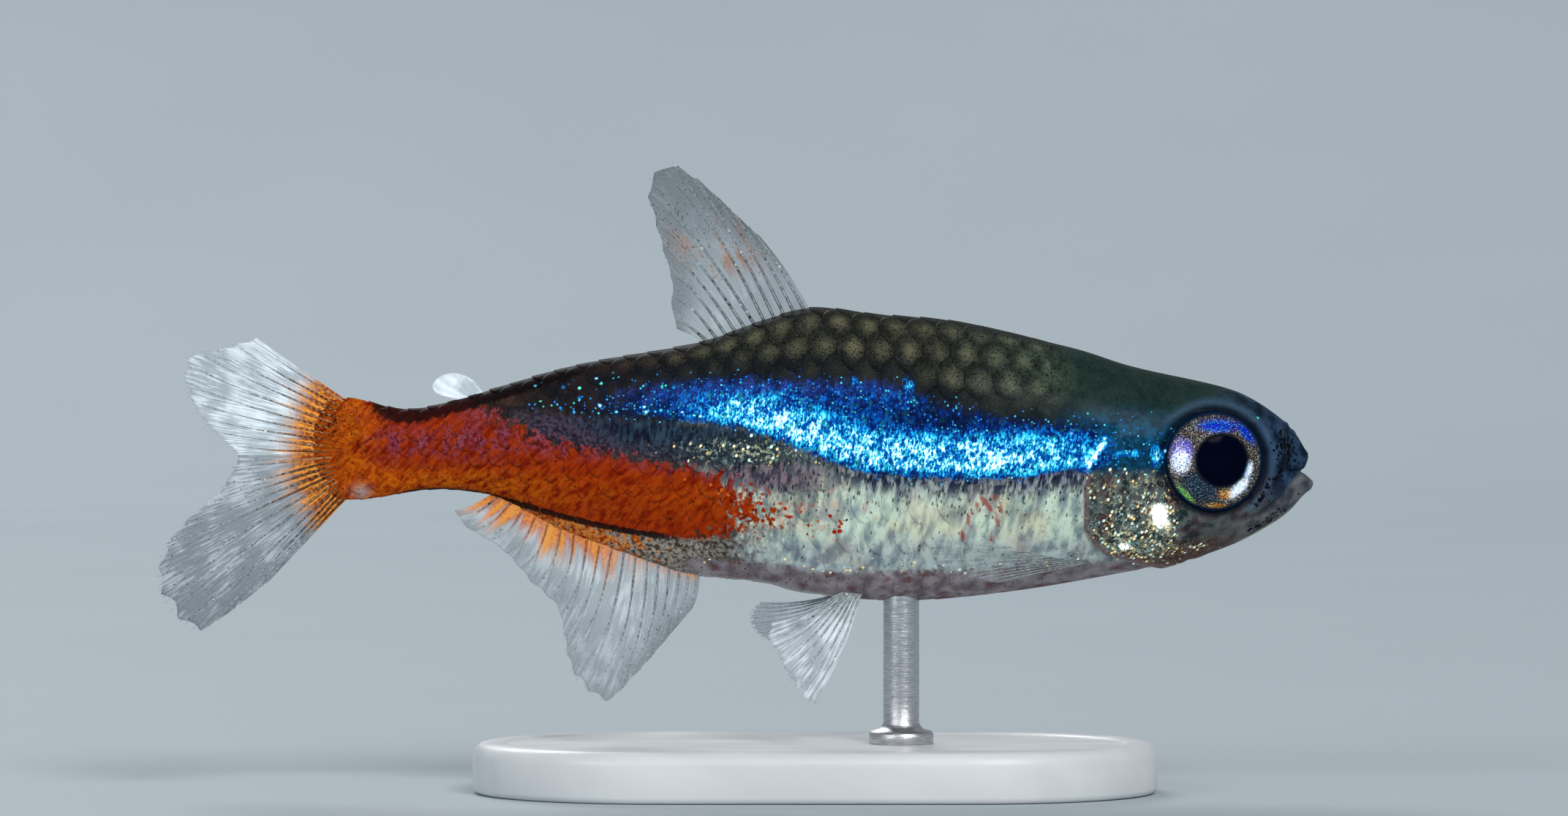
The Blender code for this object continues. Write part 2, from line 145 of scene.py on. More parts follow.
def spline(points):
    """A smooth vectorised function through (x, value) points, level beyond its ends, as the CAD draws it."""
    xs, vs = (np.array(column, float) for column in zip(*points))
    last = len(xs) - 1
    before, after = np.maximum(np.arange(last + 1) - 1, 0), np.minimum(np.arange(last + 1) + 1, last)
    slopes = (vs[after] - vs[before]) / (xs[after] - xs[before])

    def value(x):
        x = np.clip(np.asarray(x, float), xs[0], xs[-1])
        k = np.clip(np.searchsorted(xs, x, side="right") - 1, 0, last - 1)
        span = xs[k + 1] - xs[k]
        t = (x - xs[k]) / span
        rise = vs[k + 1] - vs[k]
        bend0, bend1 = slopes[k] * span, slopes[k + 1] * span
        return vs[k] + t * (bend0 + t * (3 * rise - 2 * bend0 - bend1 + t * (bend0 + bend1 - 2 * rise)))

    return value


def step(low, high, value):
    """0 up to low and 1 from high on, smooth between. With low above high it falls instead."""
    t = np.clip((np.asarray(value, float) - low) / (high - low), 0.0, 1.0)
    return t * t * (3 - 2 * t)


def bump(centre, width, value):
    """A bell of height 1 at the centre, gone at about twice its width."""
    return np.exp(-(((np.asarray(value, float) - centre) / width) ** 2))


back_z, belly_z, half_width, keel = spline(BACK), spline(BELLY), spline(HALF_WIDTH), spline(KEEL)


def body_surface(x, angle, grow=0.0):
    """Points of the body's surface, as in the CAD. Angle 0 is its left side and a quarter turn its back."""
    top, bottom, wide = back_z(x) + grow, belly_z(x) - grow, half_width(x) + grow
    middle = bottom + WIDEST_AT * (top - bottom)
    rise, side = np.sin(angle), np.cos(angle)
    sharpness = np.where(rise > 0, 1.0, keel(x))
    y = np.sign(side) * wide * np.abs(side) ** sharpness
    z = middle + rise * np.where(rise > 0, top - middle, middle - bottom)
    return np.stack([np.broadcast_to(x, z.shape), y, z], -1)


def surface_normal(x, angle, grow=0.0):
    """The normal of the body's surface, from small steps along it and round it."""
    along = body_surface(x + 0.02, angle, grow) - body_surface(x - 0.02, angle, grow)
    around = body_surface(x, angle + 0.03, grow) - body_surface(x, angle - 0.03, grow)
    normal = np.cross(around, along)
    return normal / np.maximum(np.linalg.norm(normal, axis=-1, keepdims=True), 1e-9)


def slimness(x):
    """The share of the CAD's width that the flesh keeps: it thins onto the tail fin's rays."""
    return 1 - 0.88 * step(TAIL_ROOT_X + 1.1, TAIL_ROOT_X, x)


# How far it is from the midline of the back to each angle of the left flank, in sections along the body.
GIRTH_X = np.linspace(TAIL_ROOT_X, LIPS_X, 240)
GIRTH_ANGLES = np.linspace(math.pi / 2, -math.pi / 2, 361)
girth_points = body_surface(GIRTH_X[:, None], GIRTH_ANGLES[None, :], -SCALE_DEPTH)
girth_steps = np.linalg.norm(np.diff(girth_points, axis=1), axis=-1)
GIRTH_ARCS = np.concatenate([np.zeros((len(GIRTH_X), 1)), np.cumsum(girth_steps, axis=1)], axis=1)
GIRTH_SHARES = np.linspace(0.0, 1.0, 181)
ANGLE_AT_SHARE = np.array([
    np.interp(GIRTH_SHARES * arcs[-1], arcs, GIRTH_ANGLES) for arcs in GIRTH_ARCS
])


def half_girth(x):
    """The length of skin from the midline of the back to that of the belly."""
    return np.interp(x, GIRTH_X, GIRTH_ARCS[:, -1])


def angle_at(x, share):
    """The angle at a share of the way from the back to the belly."""
    row = np.clip((x - TAIL_ROOT_X) / (LIPS_X - TAIL_ROOT_X) * (len(GIRTH_X) - 1), 0, len(GIRTH_X) - 1.001)
    column = np.clip(share * (len(GIRTH_SHARES) - 1), 0, len(GIRTH_SHARES) - 1.001)
    i, j = row.astype(int), column.astype(int)
    u, v = row - i, column - j
    low = ANGLE_AT_SHARE[i, j] * (1 - v) + ANGLE_AT_SHARE[i, j + 1] * v
    high = ANGLE_AT_SHARE[i + 1, j] * (1 - v) + ANGLE_AT_SHARE[i + 1, j + 1] * v
    return low * (1 - u) + high * u


def mesh_object(name, points, quads=(), triangles=()):
    """A smooth-shaded mesh from points in millimetres, its faces turned outward."""
    quads, triangles = np.asarray(quads, int).reshape(-1, 4), np.asarray(triangles, int).reshape(-1, 3)
    fans = np.concatenate([quads[:, :3], quads[:, [0, 2, 3]], triangles])
    a, b, c = (points[fans[:, k]] for k in range(3))
    if (a * np.cross(b, c)).sum() < 0:
        quads, triangles = quads[:, ::-1], triangles[:, ::-1]
    corners = np.concatenate([quads.ravel(), triangles.ravel()])
    sizes = np.concatenate([np.full(len(quads), 4), np.full(len(triangles), 3)])
    mesh = bpy.data.meshes.new(name)
    mesh.vertices.add(len(points))
    mesh.vertices.foreach_set("co", (np.asarray(points) * MM).ravel())
    mesh.loops.add(len(corners))
    mesh.loops.foreach_set("vertex_index", corners)
    mesh.polygons.add(len(sizes))
    mesh.polygons.foreach_set("loop_start", np.concatenate([[0], np.cumsum(sizes)[:-1]]))
    mesh.update(calc_edges=True)
    mesh.shade_smooth()
    obj = bpy.data.objects.new(name, mesh)
    bpy.context.scene.collection.objects.link(obj)
    return obj


def grid_quads(rows, columns, closed=False, first=0):
    """The faces of a grid of points stored row by row; closed joins its last column to its first."""
    r, c = np.meshgrid(np.arange(rows - 1), np.arange(columns if closed else columns - 1), indexing="ij")
    here, beside = first + r * columns + c, first + r * columns + (c + 1) % columns
    return np.stack([here, beside, beside + columns, here + columns], -1).reshape(-1, 4)


def ring_faces(rings, around):
    """The faces of a closed shape stored as rings of points, then the middles of its first and last caps."""
    k = np.arange(around)
    after, last, middle = (k + 1) % around, (rings - 1) * around, rings * around
    first_cap = np.stack([np.full(around, middle), after, k], -1)
    last_cap = np.stack([np.full(around, middle + 1), last + k, last + after], -1)
    return grid_quads(rings, around, closed=True), np.concatenate([first_cap, last_cap])


def sheet_faces(rows, columns):
    """The faces of a closed thin sheet, stored as the grid of its upper side and then that of its lower."""
    count = rows * columns
    top = grid_quads(rows, columns)
    down_side = np.arange(1, rows) * columns
    edge = np.concatenate([
        np.arange(columns), down_side + columns - 1, (rows - 1) * columns + np.arange(columns - 1)[::-1],
        down_side[:-1][::-1],
    ])
    after = np.roll(edge, -1)
    rim = np.stack([edge, edge + count, after + count, after], -1)
    return np.concatenate([top, top[:, ::-1] + count, rim])


def spokes(count):
    """The angles of evenly spaced spokes round a circle."""
    return np.linspace(0, 2 * math.pi, count, endpoint=False)


def set_attribute(obj, name, values):
    """Gives each point a number that materials can read."""
    obj.data.attributes.new(name, "FLOAT", "POINT").data.foreach_set("value", np.asarray(values, np.float32))


def corner_points(obj):
    """The point at each corner of the faces."""
    corners = np.empty(len(obj.data.loops), int)
    obj.data.loops.foreach_get("vertex_index", corners)
    return corners


def set_uv(obj, name, corners):
    """A UV map from one (u, v) for each corner of the faces."""
    obj.data.uv_layers.new(name=name).uv.foreach_set("vector", np.asarray(corners, np.float32).ravel())


def add_piece(obj, slot, material, *nodes):
    """Rides on the one CAD body, stands for these nodes and takes this material. The slot is not used."""
    obj.data.materials.append(material)
    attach(obj, "root")
    if nodes:
        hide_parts(*nodes)
    return obj


def line_distance(points, line):
    """How far each point is from a line in the side view: positive on the line's left as it runs."""
    line = np.asarray(line, float)
    start, along = line[:-1], np.diff(line, axis=0)
    reach = points[:, None, [0, 2]] - start[None]
    share = np.clip((reach * along).sum(-1) / (along**2).sum(-1), 0, 1)
    gap = reach - share[..., None] * along
    distance = np.linalg.norm(gap, axis=-1)
    nearest = distance.argmin(1)
    rows = np.arange(len(points))
    side = along[nearest, 0] * reach[rows, nearest, 1] - along[nearest, 1] * reach[rows, nearest, 0]
    return distance[rows, nearest] * np.where(side < 0, -1.0, 1.0)


GILL_LINE = [
    (13.0, 6.05), (12.20, 6.20), (11.26, 6.36), (10.19, 6.65), (9.84, 6.97), (9.62, 7.38), (9.60, 8.00),
    (9.68, 9.00), (9.88, 9.50), (10.12, 9.85), (10.60, 10.20), (11.2, 10.35),
]
CHEEK_LINE = [(12.7, 6.45), (12.1, 6.70), (11.60, 7.20), (11.38, 8.00), (11.42, 9.10), (11.62, 9.70)]
COVER_SEAM = [(11.45, 7.55), (10.8, 7.05), (10.1, 6.95)]
MOUTH_GROOVE = [(14.1, 7.58), (14.58, 7.80), (15.0, 8.13), (15.35, 8.53), (15.62, 8.82), (15.95, 8.92)]
NOSTRIL_X, NOSTRIL_Z = 15.30, 10.02
LIP_DOTS = [(15.08, 8.95), (14.98, 8.78), (14.70, 8.50), (14.55, 8.20), (14.38, 8.02)]
VESSEL = [(6.2, 7.0), (6.4, 7.6), (6.6, 7.9), (6.85, 8.25), (6.95, 7.85), (7.15, 8.25)]
VEIN = [(7.05, 6.95), (7.15, 7.5), (7.4, 8.1)]
JAW_DOTS = [(15.20, 7.87), (14.80, 7.58), (14.50, 7.45), (14.20, 7.30)]


def gill_side(points):
    """How far ahead of the gill cover's hind edge each place is: 1 on the head and 0 on the trunk."""
    x, z = points[:, 0], points[:, 2]
    ahead = step(-0.03, 0.03, -line_distance(points, GILL_LINE))
    cover = ahead * step(10.45, 9.95, z)
    nape = step(8.5, 10.2, x) * step(9.6, 10.3, z)
    return np.clip(np.maximum(np.maximum(cover, nape), step(10.9, 12.6, x)), 0, 1)


# ---------------------------------------------------------------------------------------------------------
# Markings: where each colour lies, as masks worked out from a point's place. Skin and scales share them.

STRIPE_TOP = spline([
    (-6.2, 11.05), (-4.2, 11.45), (-2.2, 11.62), (-0.1, 11.66), (1.9, 11.62), (3.5, 11.56), (4.6, 11.45),
    (5.4, 11.10), (6.5, 10.78), (8.6, 10.48), (9.6, 10.42), (11.2, 10.25), (12.2, 10.1),
])
CORE_TOP = spline([
    (-6.2, 11.00), (-4.2, 11.00), (-0.1, 11.00), (1.1, 10.85), (2.15, 10.55), (3.2, 10.17), (4.3, 10.0),
    (6.5, 9.82), (8.6, 9.85), (11.3, 9.60),
])
STRIPE_BOTTOM = spline([
    (-6.2, 10.70), (-4.2, 10.45), (-2.2, 10.38), (-0.1, 10.22), (0.9, 10.0), (1.9, 9.60), (3.1, 9.15),
    (3.9, 8.97), (6.0, 8.84), (8.0, 8.86), (8.8, 9.00), (9.9, 9.00), (11.3, 8.95),
])
RED_TOP = spline([
    (TAIL_ROOT_X, 11.8), (-9.0, 11.7), (-8.0, 11.2), (-7.0, 10.55), (-6.2, 10.05), (-5.2, 9.70), (-4.2, 9.48),
    (-3.2, 9.30), (-1.1, 8.95), (-0.1, 8.65), (1.5, 8.15),
])
RED_BOTTOM = spline([
    (TAIL_ROOT_X, 7.8), (-6.6, 8.10), (-5.0, 7.72), (-3.8, 7.42), (-2.2, 7.15), (-1.0, 7.05), (0.3, 7.25),
    (1.5, 7.50),
])
UNDER_LINE = spline([(-1.5, 6.60), (0.5, 6.42), (3.0, 6.25), (6.0, 6.25), (9.6, 6.45), (11.0, 6.45)])
MOUTH_LINE = spline(MOUTH_GROOVE)


def markings(points):
    """Each colour's share at these places, from 0 to 1."""
    x, z = points[:, 0], points[:, 2]

    def spot(where_x, where_z, length, height):
        """An oval bell in the side view."""
        return np.exp(-(((x - where_x) / length) ** 2) - ((z - where_z) / height) ** 2)

    top, bottom = back_z(x), belly_z(x)
    gill_edge = -line_distance(points, GILL_LINE)
    eye_gap = np.hypot(x - EYE_X, z - EYE_Z)
    head = gill_side(points)
    body = 1 - head
    # The neon stripe, its brightest core and its end on the temple.
    above = z - STRIPE_BOTTOM(x)
    in_stripe = step(-0.32, 0.26, above)
    stripe = in_stripe * step(0.34, -0.80, z - STRIPE_TOP(x)) * step(-6.2, -0.2, x) * step(10.9, 9.7, x)
    core = step(-0.42, 0.30, above) * step(0.50, -0.40, z - CORE_TOP(x))
    core *= step(-2.6, 0.8, x) * step(10.1, 9.4, x)
    temple = step(8.4, 10.4, x) * step(8.70, 9.15, z) * step(11.05, 9.9, z + 0.10 * (x - 10.4))
    temple *= step(12.9, 11.9, x)
    # Below the stripe: red muscle, silver, navy, the anal fin's base and the dark edges of the tail's stem.
    below = 1 - in_stripe
    red_rise = (z - RED_TOP(x)) / (1 + 1.2 * step(-4.5, -7.5, x))
    loose = 0.10 + 0.42 * step(-2.4, 0.4, x)
    red = step(0.40, -0.34, red_rise) * step(-loose, loose, z - RED_BOTTOM(x)) * step(2.8, -1.6, x)
    under = step(0.30, -0.30, z - UNDER_LINE(x)) * step(-2.4, -0.6, x) * body
    silver = below * step(-2.4, 0.8, x + 0.5 * (z - 8.4)) * body
    navy = below * step(-0.30, 0.45, red_rise) * step(-7.6, -5.0, x) * step(4.2, -0.2, x)
    anal = step(0.05, -0.10, z - RED_BOTTOM(x)) * step(-6.9, -6.4, x) * step(0.2, -1.0, x)
    anal_line = bump(0.0, 0.10, z - RED_BOTTOM(x)) * step(-9.4, -8.4, x) * step(-0.4, -2.6, x)
    stem_top = step(0.72, 0.12, top - z) * step(-10.8, -9.4, x) * step(-2.0, -6.0, x)
    stem_bottom = step(0.22, 0.03, z - bottom) * step(-10.4, -8.8, x) * step(-5.6, -6.6, x)
    corners = spot(-11.25, 10.35, 0.62, 0.56) + 0.9 * spot(-11.10, 8.30, 0.40, 0.28)
    # The head and the back.
    snout = step(13.6, 15.0, x + 0.30 * (z - 9.2))
    jaw = step(0.12, -0.10, z - MOUTH_LINE(x)) * step(12.4, 14.2, x)
    throat = head * step(0.80, 0.20, z - bottom) * step(14.6, 12.6, x)
    cheek = head * step(9.25, 8.75, z)
    back = step(-0.35, 0.40, z - STRIPE_TOP(x)) * step(-8.6, -6.0, x)
    # Painted highlights: flashes on the cheek, the stripe's shimmer, and where the three kinds of glints lie.
    flash = 1.2 * spot(11.66, 7.74, 0.27, 0.36) + 0.7 * spot(10.72, 6.85, 0.30, 0.16)
    flash += 0.55 * spot(12.7, 6.84, 0.42, 0.09) + 0.25 * spot(10.6, 7.9, 0.5, 0.9)
    flash += 0.35 * spot(11.5, 6.75, 0.5, 0.16) + 0.35 * spot(11.9, 7.35, 0.22, 0.35)
    streak = bump(0.0, 0.09, x - 9.92 + 0.62 * (9.42 - z)) * step(0.54, 0.38, np.abs(z - 9.42))
    temple_light = spot(11.60, 9.35, 0.20, 0.30) + 0.9 * spot(10.85, 9.42, 0.34, 0.12)
    shimmer = 0.66 * core * step(16, 6, x) + 0.16 * stripe * step(-3.5, 0.5, x) + 0.12 * stripe + 0.9 * streak
    shimmer += 0.75 * temple_light + 0.10 * temple * head
    shimmer += 0.5 * spot(4.75, 11.30, 0.20, 0.24) + 0.4 * spot(3.25, 11.42, 0.16, 0.14)
    shimmer *= 1 - 0.85 * spot(5.7, 10.42, 1.9, 0.40)
    rear_core = bump(0.0, 0.15, z - 10.72 + 0.04 * (x + 5.0)) * step(-6.0, -4.6, x) * step(2.0, -0.6, x)
    beads = 0.62 * rear_core + 0.14 * bump(11.28, 0.20, z) * step(-6.8, -6.0, x) * step(0.0, -3.0, x)
    beads += 0.03 * temple + 0.02 * back * step(8.5, 10.0, x)
    sparks = 0.32 * stripe + 0.10 * temple + 0.7 * temple_light + 0.25 * rear_core + 0.2 * core
    gold = 0.09 + 0.22 * spot(10.8, 7.15, 0.9, 0.5) + 0.20 * spot(11.8, 7.4, 0.5, 0.7)
    gold += 0.14 * spot(11.3, 8.3, 0.35, 0.6) + 0.10 * bump(0.15, 0.10, gill_edge)
    pearls = gold * cheek * step(12.9, 11.8, x) + 0.78 * flash * head
    pearls += 0.30 * spot(0.6, 9.50, 1.8, 0.32) * below
    pearls += 0.12 * body * bump(0.0, 0.14, z - UNDER_LINE(x)) * step(-1.5, 0.0, x)
    # Dark places, and the small marks of the flank and chin.
    moles = spot(15.25, 9.60, 0.36, 0.62) + 0.7 * bump(0.0, 0.10, line_distance(points, LIP_DOTS))
    moles += 0.7 * bump(0.0, 0.12, line_distance(points, JAW_DOTS)) + 0.3 * spot(12.1, 8.5, 0.5, 0.5)
    specks = back * (1 - 0.75 * head) + 0.55 * navy
    specks += 0.40 * red * step(8.9, 9.8, z) + 0.45 * anal + 0.9 * corners
    vessels = bump(0.0, 0.09, line_distance(points, VESSEL)) + bump(0.0, 0.08, line_distance(points, VEIN))
    fringe = step(0.16, 0.03, z - bottom) * step(-1.6, -0.8, x) * step(3.3, 2.4, x)
    violet = bump(9.70, 0.40, z) * step(-10.6, -9.4, x) * step(-4.0, -7.0, x) + step(-0.45, 0.15, red_rise)
    spots = step(0.85 - 0.09 * x, 0.0, np.abs(z - 8.15 + 0.27 * x)) * step(3.6, 2.5, x) * step(-2.0, -0.5, x)
    chin = step(0.12, 0.02, z - bottom) * step(0.50, 0.0, np.abs(points[:, 1]))
    return {name: np.clip(share, 0.0, 1.0) for name, share in {
        "back": back,
        "teal": step(5.0, 9.6, x) * step(9.6, 10.5, z),
        "crown": head * step(8.95, 9.35, z) + step(8.8, 10.6, x) * step(9.9, 10.5, z),
        "rim": step(0.42, 0.06, top - z),
        "stripe": stripe,
        "dusk": step(0.95, -0.15, z - STRIPE_TOP(x)) * step(-0.5, 0.3, above) * step(-7.5, -5.0, x),
        "haze": spot(1.6, 11.40, 2.8, 0.34) + 0.7 * spot(-3.2, 11.15, 2.6, 0.40),
        "temple": temple,
        "navy": navy,
        "purple": step(0.80, 0.05, red_rise) + step(-2.8, -5.4, x),
        "red": red,
        "orange": bump(8.55, 0.45, z) * step(-3.5, -7.5, x) + step(-9.4, -10.8, x) + 0.35 * bump(8.2, 0.6, z),
        "violet": violet,
        "spots": spots,
        "edging": anal_line + stem_top + 0.8 * stem_bottom + 0.46 * corners,
        "anal": anal,
        "fan": step(-10.5, -11.4, x) * (0.5 + 0.5 * np.cos(99 * np.arctan2(z - 9.45, -9.6 - x))),
        "hind": step(-0.6, -4.6, x),
        "silver": silver,
        "upper": step(7.4, 8.9, z) + step(3.0, 0.6, x),
        "fray": step(-0.85, -0.25, above) * step(0.6, 2.6, x),
        "mauve": spot(1.0, 8.75, 2.3, 0.50) * step(3.9, 2.0, x),
        "moss": spot(0.3, 9.40, 2.0, 0.52) * below,
        "vessels": vessels,
        "lower": step(7.45, 6.7, z),
        "under": under,
        "pearl_line": bump(0.0, 0.10, z - UNDER_LINE(x)) * step(0.4, 2.4, x) * step(10.5, 8.5, x) * body,
        "fringe": fringe + 0.7 * spot(-10.4, 8.34, 0.22, 0.18),
        "cheek": cheek,
        "snout": snout,
        "jaw": jaw,
        "throat": throat,
        "chin": chin * spot(14.6, 7.3, 0.9, 9.0),
        "orbit": bump(1.45, 0.11, eye_gap),
        # Painted sheen: a pale blue ring on the upper front of the eye's raised rim, the side the light comes
        # from.
        "glass": bump(1.64, 0.12, eye_gap) * step(-1.2, 0.3, x - EYE_X + z - EYE_Z),
        "shimmer": shimmer,
        "beads": beads,
        "sparks": sparks,
        "moles": moles * head,
        "pearls": pearls,
        "flash": flash * head,
        "seam": bump(0.03, 0.07, gill_edge) * step(9.3, 8.9, z) * step(13.0, 12.0, x),
        "specks": specks,
        "crowd": step(1.9, 0.2, z - STRIPE_TOP(x)) * step(9.6, 7.6, x) * back,
        "dashes": silver * (0.10 + 0.55 * step(7.5, 8.7, z)),
    }.items()}


MARK_NAMES = sorted(markings(np.zeros((1, 3))))


# ---------------------------------------------------------------------------------------------------------
# Materials


def srgb(red, green, blue):
    """A colour from its screen values, 0 to 255."""
    return tuple(c / 12.92 if c <= 0.04045 else ((c + 0.055) / 1.055) ** 2.4
                 for c in (red / 255, green / 255, blue / 255)) + (1.0,)


class Value:
    """A socket of a graph that can be reckoned with as a number can."""

    def __init__(self, graph, socket):
        self.graph, self.socket = graph, socket

    def __add__(self, other):
        return self.graph.math("ADD", self, other)

    def __sub__(self, other):
        return self.graph.math("SUBTRACT", self, other)

    def __rsub__(self, other):
        return self.graph.math("SUBTRACT", other, self)

    def __mul__(self, other):
        return self.graph.math("MULTIPLY", self, other)

    def __abs__(self):
        return self.graph.math("ABSOLUTE", self)

    __radd__, __rmul__ = __add__, __mul__


class Graph:
    """A material's node tree, written as expressions of numbers, colours, places and Values."""

    def __init__(self, name, **settings):
        self.material = bpy.data.materials.new(name)
        self.material.use_nodes = True
        self.tree = self.material.node_tree
        self.shader = self.tree.nodes["Principled BSDF"]
        metres = self.out(self.node("TexCoord", {}), "Object")
        self.place = self.out(self.node("VectorMath", {0: metres, 1: (1 / MM,) * 3}, operation="MULTIPLY"))
        for setting, value in settings.items():
            self.shade(setting.replace("_", " "), value)

    def put(self, value, socket):
        """Feeds a socket. On a colour's socket three numbers are screen values and four are linear."""
        if isinstance(value, Value):
            self.tree.links.new(value.socket, socket)
        elif socket.type == "RGBA" and len(value) == 3:
            socket.default_value = srgb(*value)
        else:
            socket.default_value = value

    def node(self, kind, inputs, **settings):
        """A new node with these inputs, by name or number, and settings."""
        node = self.tree.nodes.new("ShaderNode" + kind)
        for setting, value in settings.items():
            setattr(node, setting, value)
        for key, value in inputs.items():
            self.put(value, node.inputs[key])
        return node

    def out(self, node, key=0):
        return Value(self, node.outputs[key])

    def shade(self, name, value):
        self.put(value, self.shader.inputs[name])

    def math(self, operation, a, b=0.0, clamp=False):
        return self.out(self.node("Math", {0: a, 1: b}, operation=operation, use_clamp=clamp))

    def most(self, first, *others):
        """The greatest of several values."""
        for other in others:
            first = self.math("MAXIMUM", first, other)
        return first

    def beyond(self, a, b):
        """The vector from b to a."""
        return self.out(self.node("VectorMath", {0: a, 1: b}, operation="SUBTRACT"))

    def length(self, a):
        return self.out(self.node("VectorMath", {0: a}, operation="LENGTH"), "Value")

    def rise(self, value, low, high):
        """0 up to low and 1 from high on, smooth between; with low above high it falls."""
        falls = low > high
        inputs = {
            "Value": value, "From Min": min(low, high), "From Max": max(low, high),
            "To Min": 1.0 if falls else 0.0, "To Max": 0.0 if falls else 1.0,
        }
        return self.out(self.node("MapRange", inputs, interpolation_type="SMOOTHSTEP"), "Result")

    def mix(self, share, a, b):
        """Colour a with this share of colour b. 6, 7 and 2 are the Mix node's sockets for colours."""
        return self.out(self.node("Mix", {"Factor": share, 6: a, 7: b}, data_type="RGBA"), 2)

    def between(self, value, low_colour, high_colour, low=0.36, high=0.64):
        """One colour up to low and another from high on, with all their mixtures between."""
        return self.mix(self.rise(value, low, high), low_colour, high_colour)

    def layers(self, colour, *coats):
        """A colour under coats of others, each given as its share of the cover and its own colour."""
        for share, paint in coats:
            colour = self.mix(share, colour, paint)
        return colour

    def ramp(self, value, stops):
        """A colour that runs through (value, colour) stops."""
        node = self.node("ValToRGB", {0: value})
        points = node.color_ramp.elements
        for _ in stops[2:]:
            points.new(0.5)
        for point, (where, colour) in zip(points, stops):
            point.position, point.color = where, srgb(*colour)
        return self.out(node)

    def attribute(self, name):
        return self.out(self.node("Attribute", {}, attribute_name=name), "Fac")

    def uv(self, name):
        """The two coordinates of a UV map."""
        split = self.node("SeparateXYZ", {0: self.out(self.node("UVMap", {}, uv_map=name))})
        return self.out(split), self.out(split, 1)

    def combine(self, x, y):
        """A place from two coordinates."""
        return self.out(self.node("CombineXYZ", {0: x, 1: y}))

    def mapped(self, place, turn, scale):
        """A place as a pattern of this turn and scale sees it."""
        inputs = {"Vector": place, "Rotation": turn, "Scale": scale}
        return self.out(self.node("Mapping", inputs, vector_type="TEXTURE"))

    def stretched(self, scale, turn=0.0):
        """The place, for a pattern drawn out where scale is below 1 and leaning towards the head by turn."""
        return self.mapped(self.place, (0.0, turn, 0.0), [1 / share for share in scale])

    def noise(self, scale, detail=2.0, place=None, roughness=0.5):
        inputs = {"Vector": place or self.place, "Scale": scale, "Detail": detail, "Roughness": roughness}
        return self.out(self.node("TexNoise", inputs), "Fac")

    def cells(self, scale, place=None):
        """Distance to the middle of the nearest cell, and three random numbers of that cell."""
        node = self.node("TexVoronoi", {"Vector": place or self.place, "Scale": scale})
        split = self.node("SeparateColor", {0: self.out(node, "Color")})
        return self.out(node, "Distance"), *(self.out(split, k) for k in range(3))

    def bumped(self, height, distance):
        """A bump of this height in millimetres."""
        inputs = {"Strength": 1.0, "Distance": distance * MM, "Height": height}
        return self.out(self.node("Bump", inputs), "Normal")


def glints(g, density, cell, place, size=0.36):
    """Painted glints: bright flecks, in the share of the cells that density gives. Returns how lit each place
    is, how near it is to its fleck's middle, and two random numbers of the fleck."""
    distance, lit, hue, strength = g.cells(cell, place)
    chosen = g.rise(density + lit, 1.0, 1.015)
    return chosen * g.rise(distance, size + 0.10, size - 0.06), g.rise(distance, size, 0.08), hue, strength


# The neon stripe's colours, from its coldest mirrors to its hottest; the white end is painted reflection.
NEON = [
    (0.0, (2, 12, 36)), (0.14, (0, 30, 90)), (0.30, (0, 64, 160)), (0.46, (0, 120, 206)),
    (0.62, (12, 184, 236)), (0.80, (104, 234, 252)), (0.97, (240, 255, 255)),
]


class FleshGraph(Graph):
    """The flesh's material: its markings, and noises of several sizes and slants for colours to follow."""

    def __init__(self, name):
        super().__init__(name, Coat_Weight=0.03, Coat_Roughness=0.15, Specular_IOR_Level=0.05, IOR=1.4)
        self.mark = {key: self.attribute(key) for key in MARK_NAMES}
        self.tone = self.attribute("tone")
        self.grain, self.fine = self.noise(24.0, 2.0), self.noise(9.0, 3.0)
        self.clumps, self.middling = self.noise(3.2, 2.0), self.noise(2.4, 3.0)
        self.broad = self.noise(0.7, 2.0)
        self.streaks = self.noise(4.0, 3.0, self.stretched((1.0, 1.0, 0.26), 0.20))
        self.hatching = self.noise(9.0, 2.0, self.stretched((1.0, 1.0, 0.30), 0.14))
        self.slanting = self.noise(6.0, 3.0, self.stretched((1.3, 1.0, 0.32), 0.80))
        self.feather = self.hatching * 1.1 + self.fine * 0.9 - 1.0

    def ragged(self, share, depth=0.7, low=0.36, high=0.64):
        """A mask whose edge is broken up by the feathery noise."""
        return self.rise(share + self.feather * depth, low, high)


def back_colours(g, plates):
    """The back: olive grey, browner behind and greener towards the nape. Returns its colour, and how near
    each place is to its scale's edge, which is 0.5 on bare skin."""
    colour = g.between((g.grain + g.middling) * 0.5, (28, 32, 30), (64, 64, 54))
    colour = g.layers(
        colour,
        (g.mark["hind"] * 0.8, g.between(g.middling, (34, 26, 26), (78, 52, 38))),
        (g.mark["teal"] * 0.85, g.between(g.middling, (36, 50, 44), (64, 80, 66))),
    )
    if plates:
        reach, across = g.uv("Plate")
        aside = abs(across - 0.5) * 2.9
        behind = abs(reach - 0.66) * 3.5
        outward = g.math("SQRT", aside * aside + behind * behind) + (g.fine - 0.5) * 0.5
        heart = g.rise(outward, 0.85, 0.0) * (0.30 + g.tone * 0.60)
        hue = g.mix(g.mark["teal"], g.mix(g.mark["hind"], (112, 110, 84), (108, 66, 42)), (98, 110, 94))
        colour = g.mix(heart * g.mark["back"] * g.rise(g.mark["rim"], 1.0, 0.1), colour, hue)
        margin = g.rise(outward, 0.70, 1.15)
        colour = g.mix(margin * g.mark["back"] * 0.46, colour, (20, 22, 20))
    else:
        margin = 0.5
    colour = g.mix(g.mark["rim"] * g.mark["back"] * 0.55, colour, (22, 24, 22))
    dusk = g.rise(g.mark["dusk"] + (g.grain - 0.5) * 1.4, 0.20, 0.80)
    return g.mix(dusk * 0.74, colour, (10, 18, 27)), margin


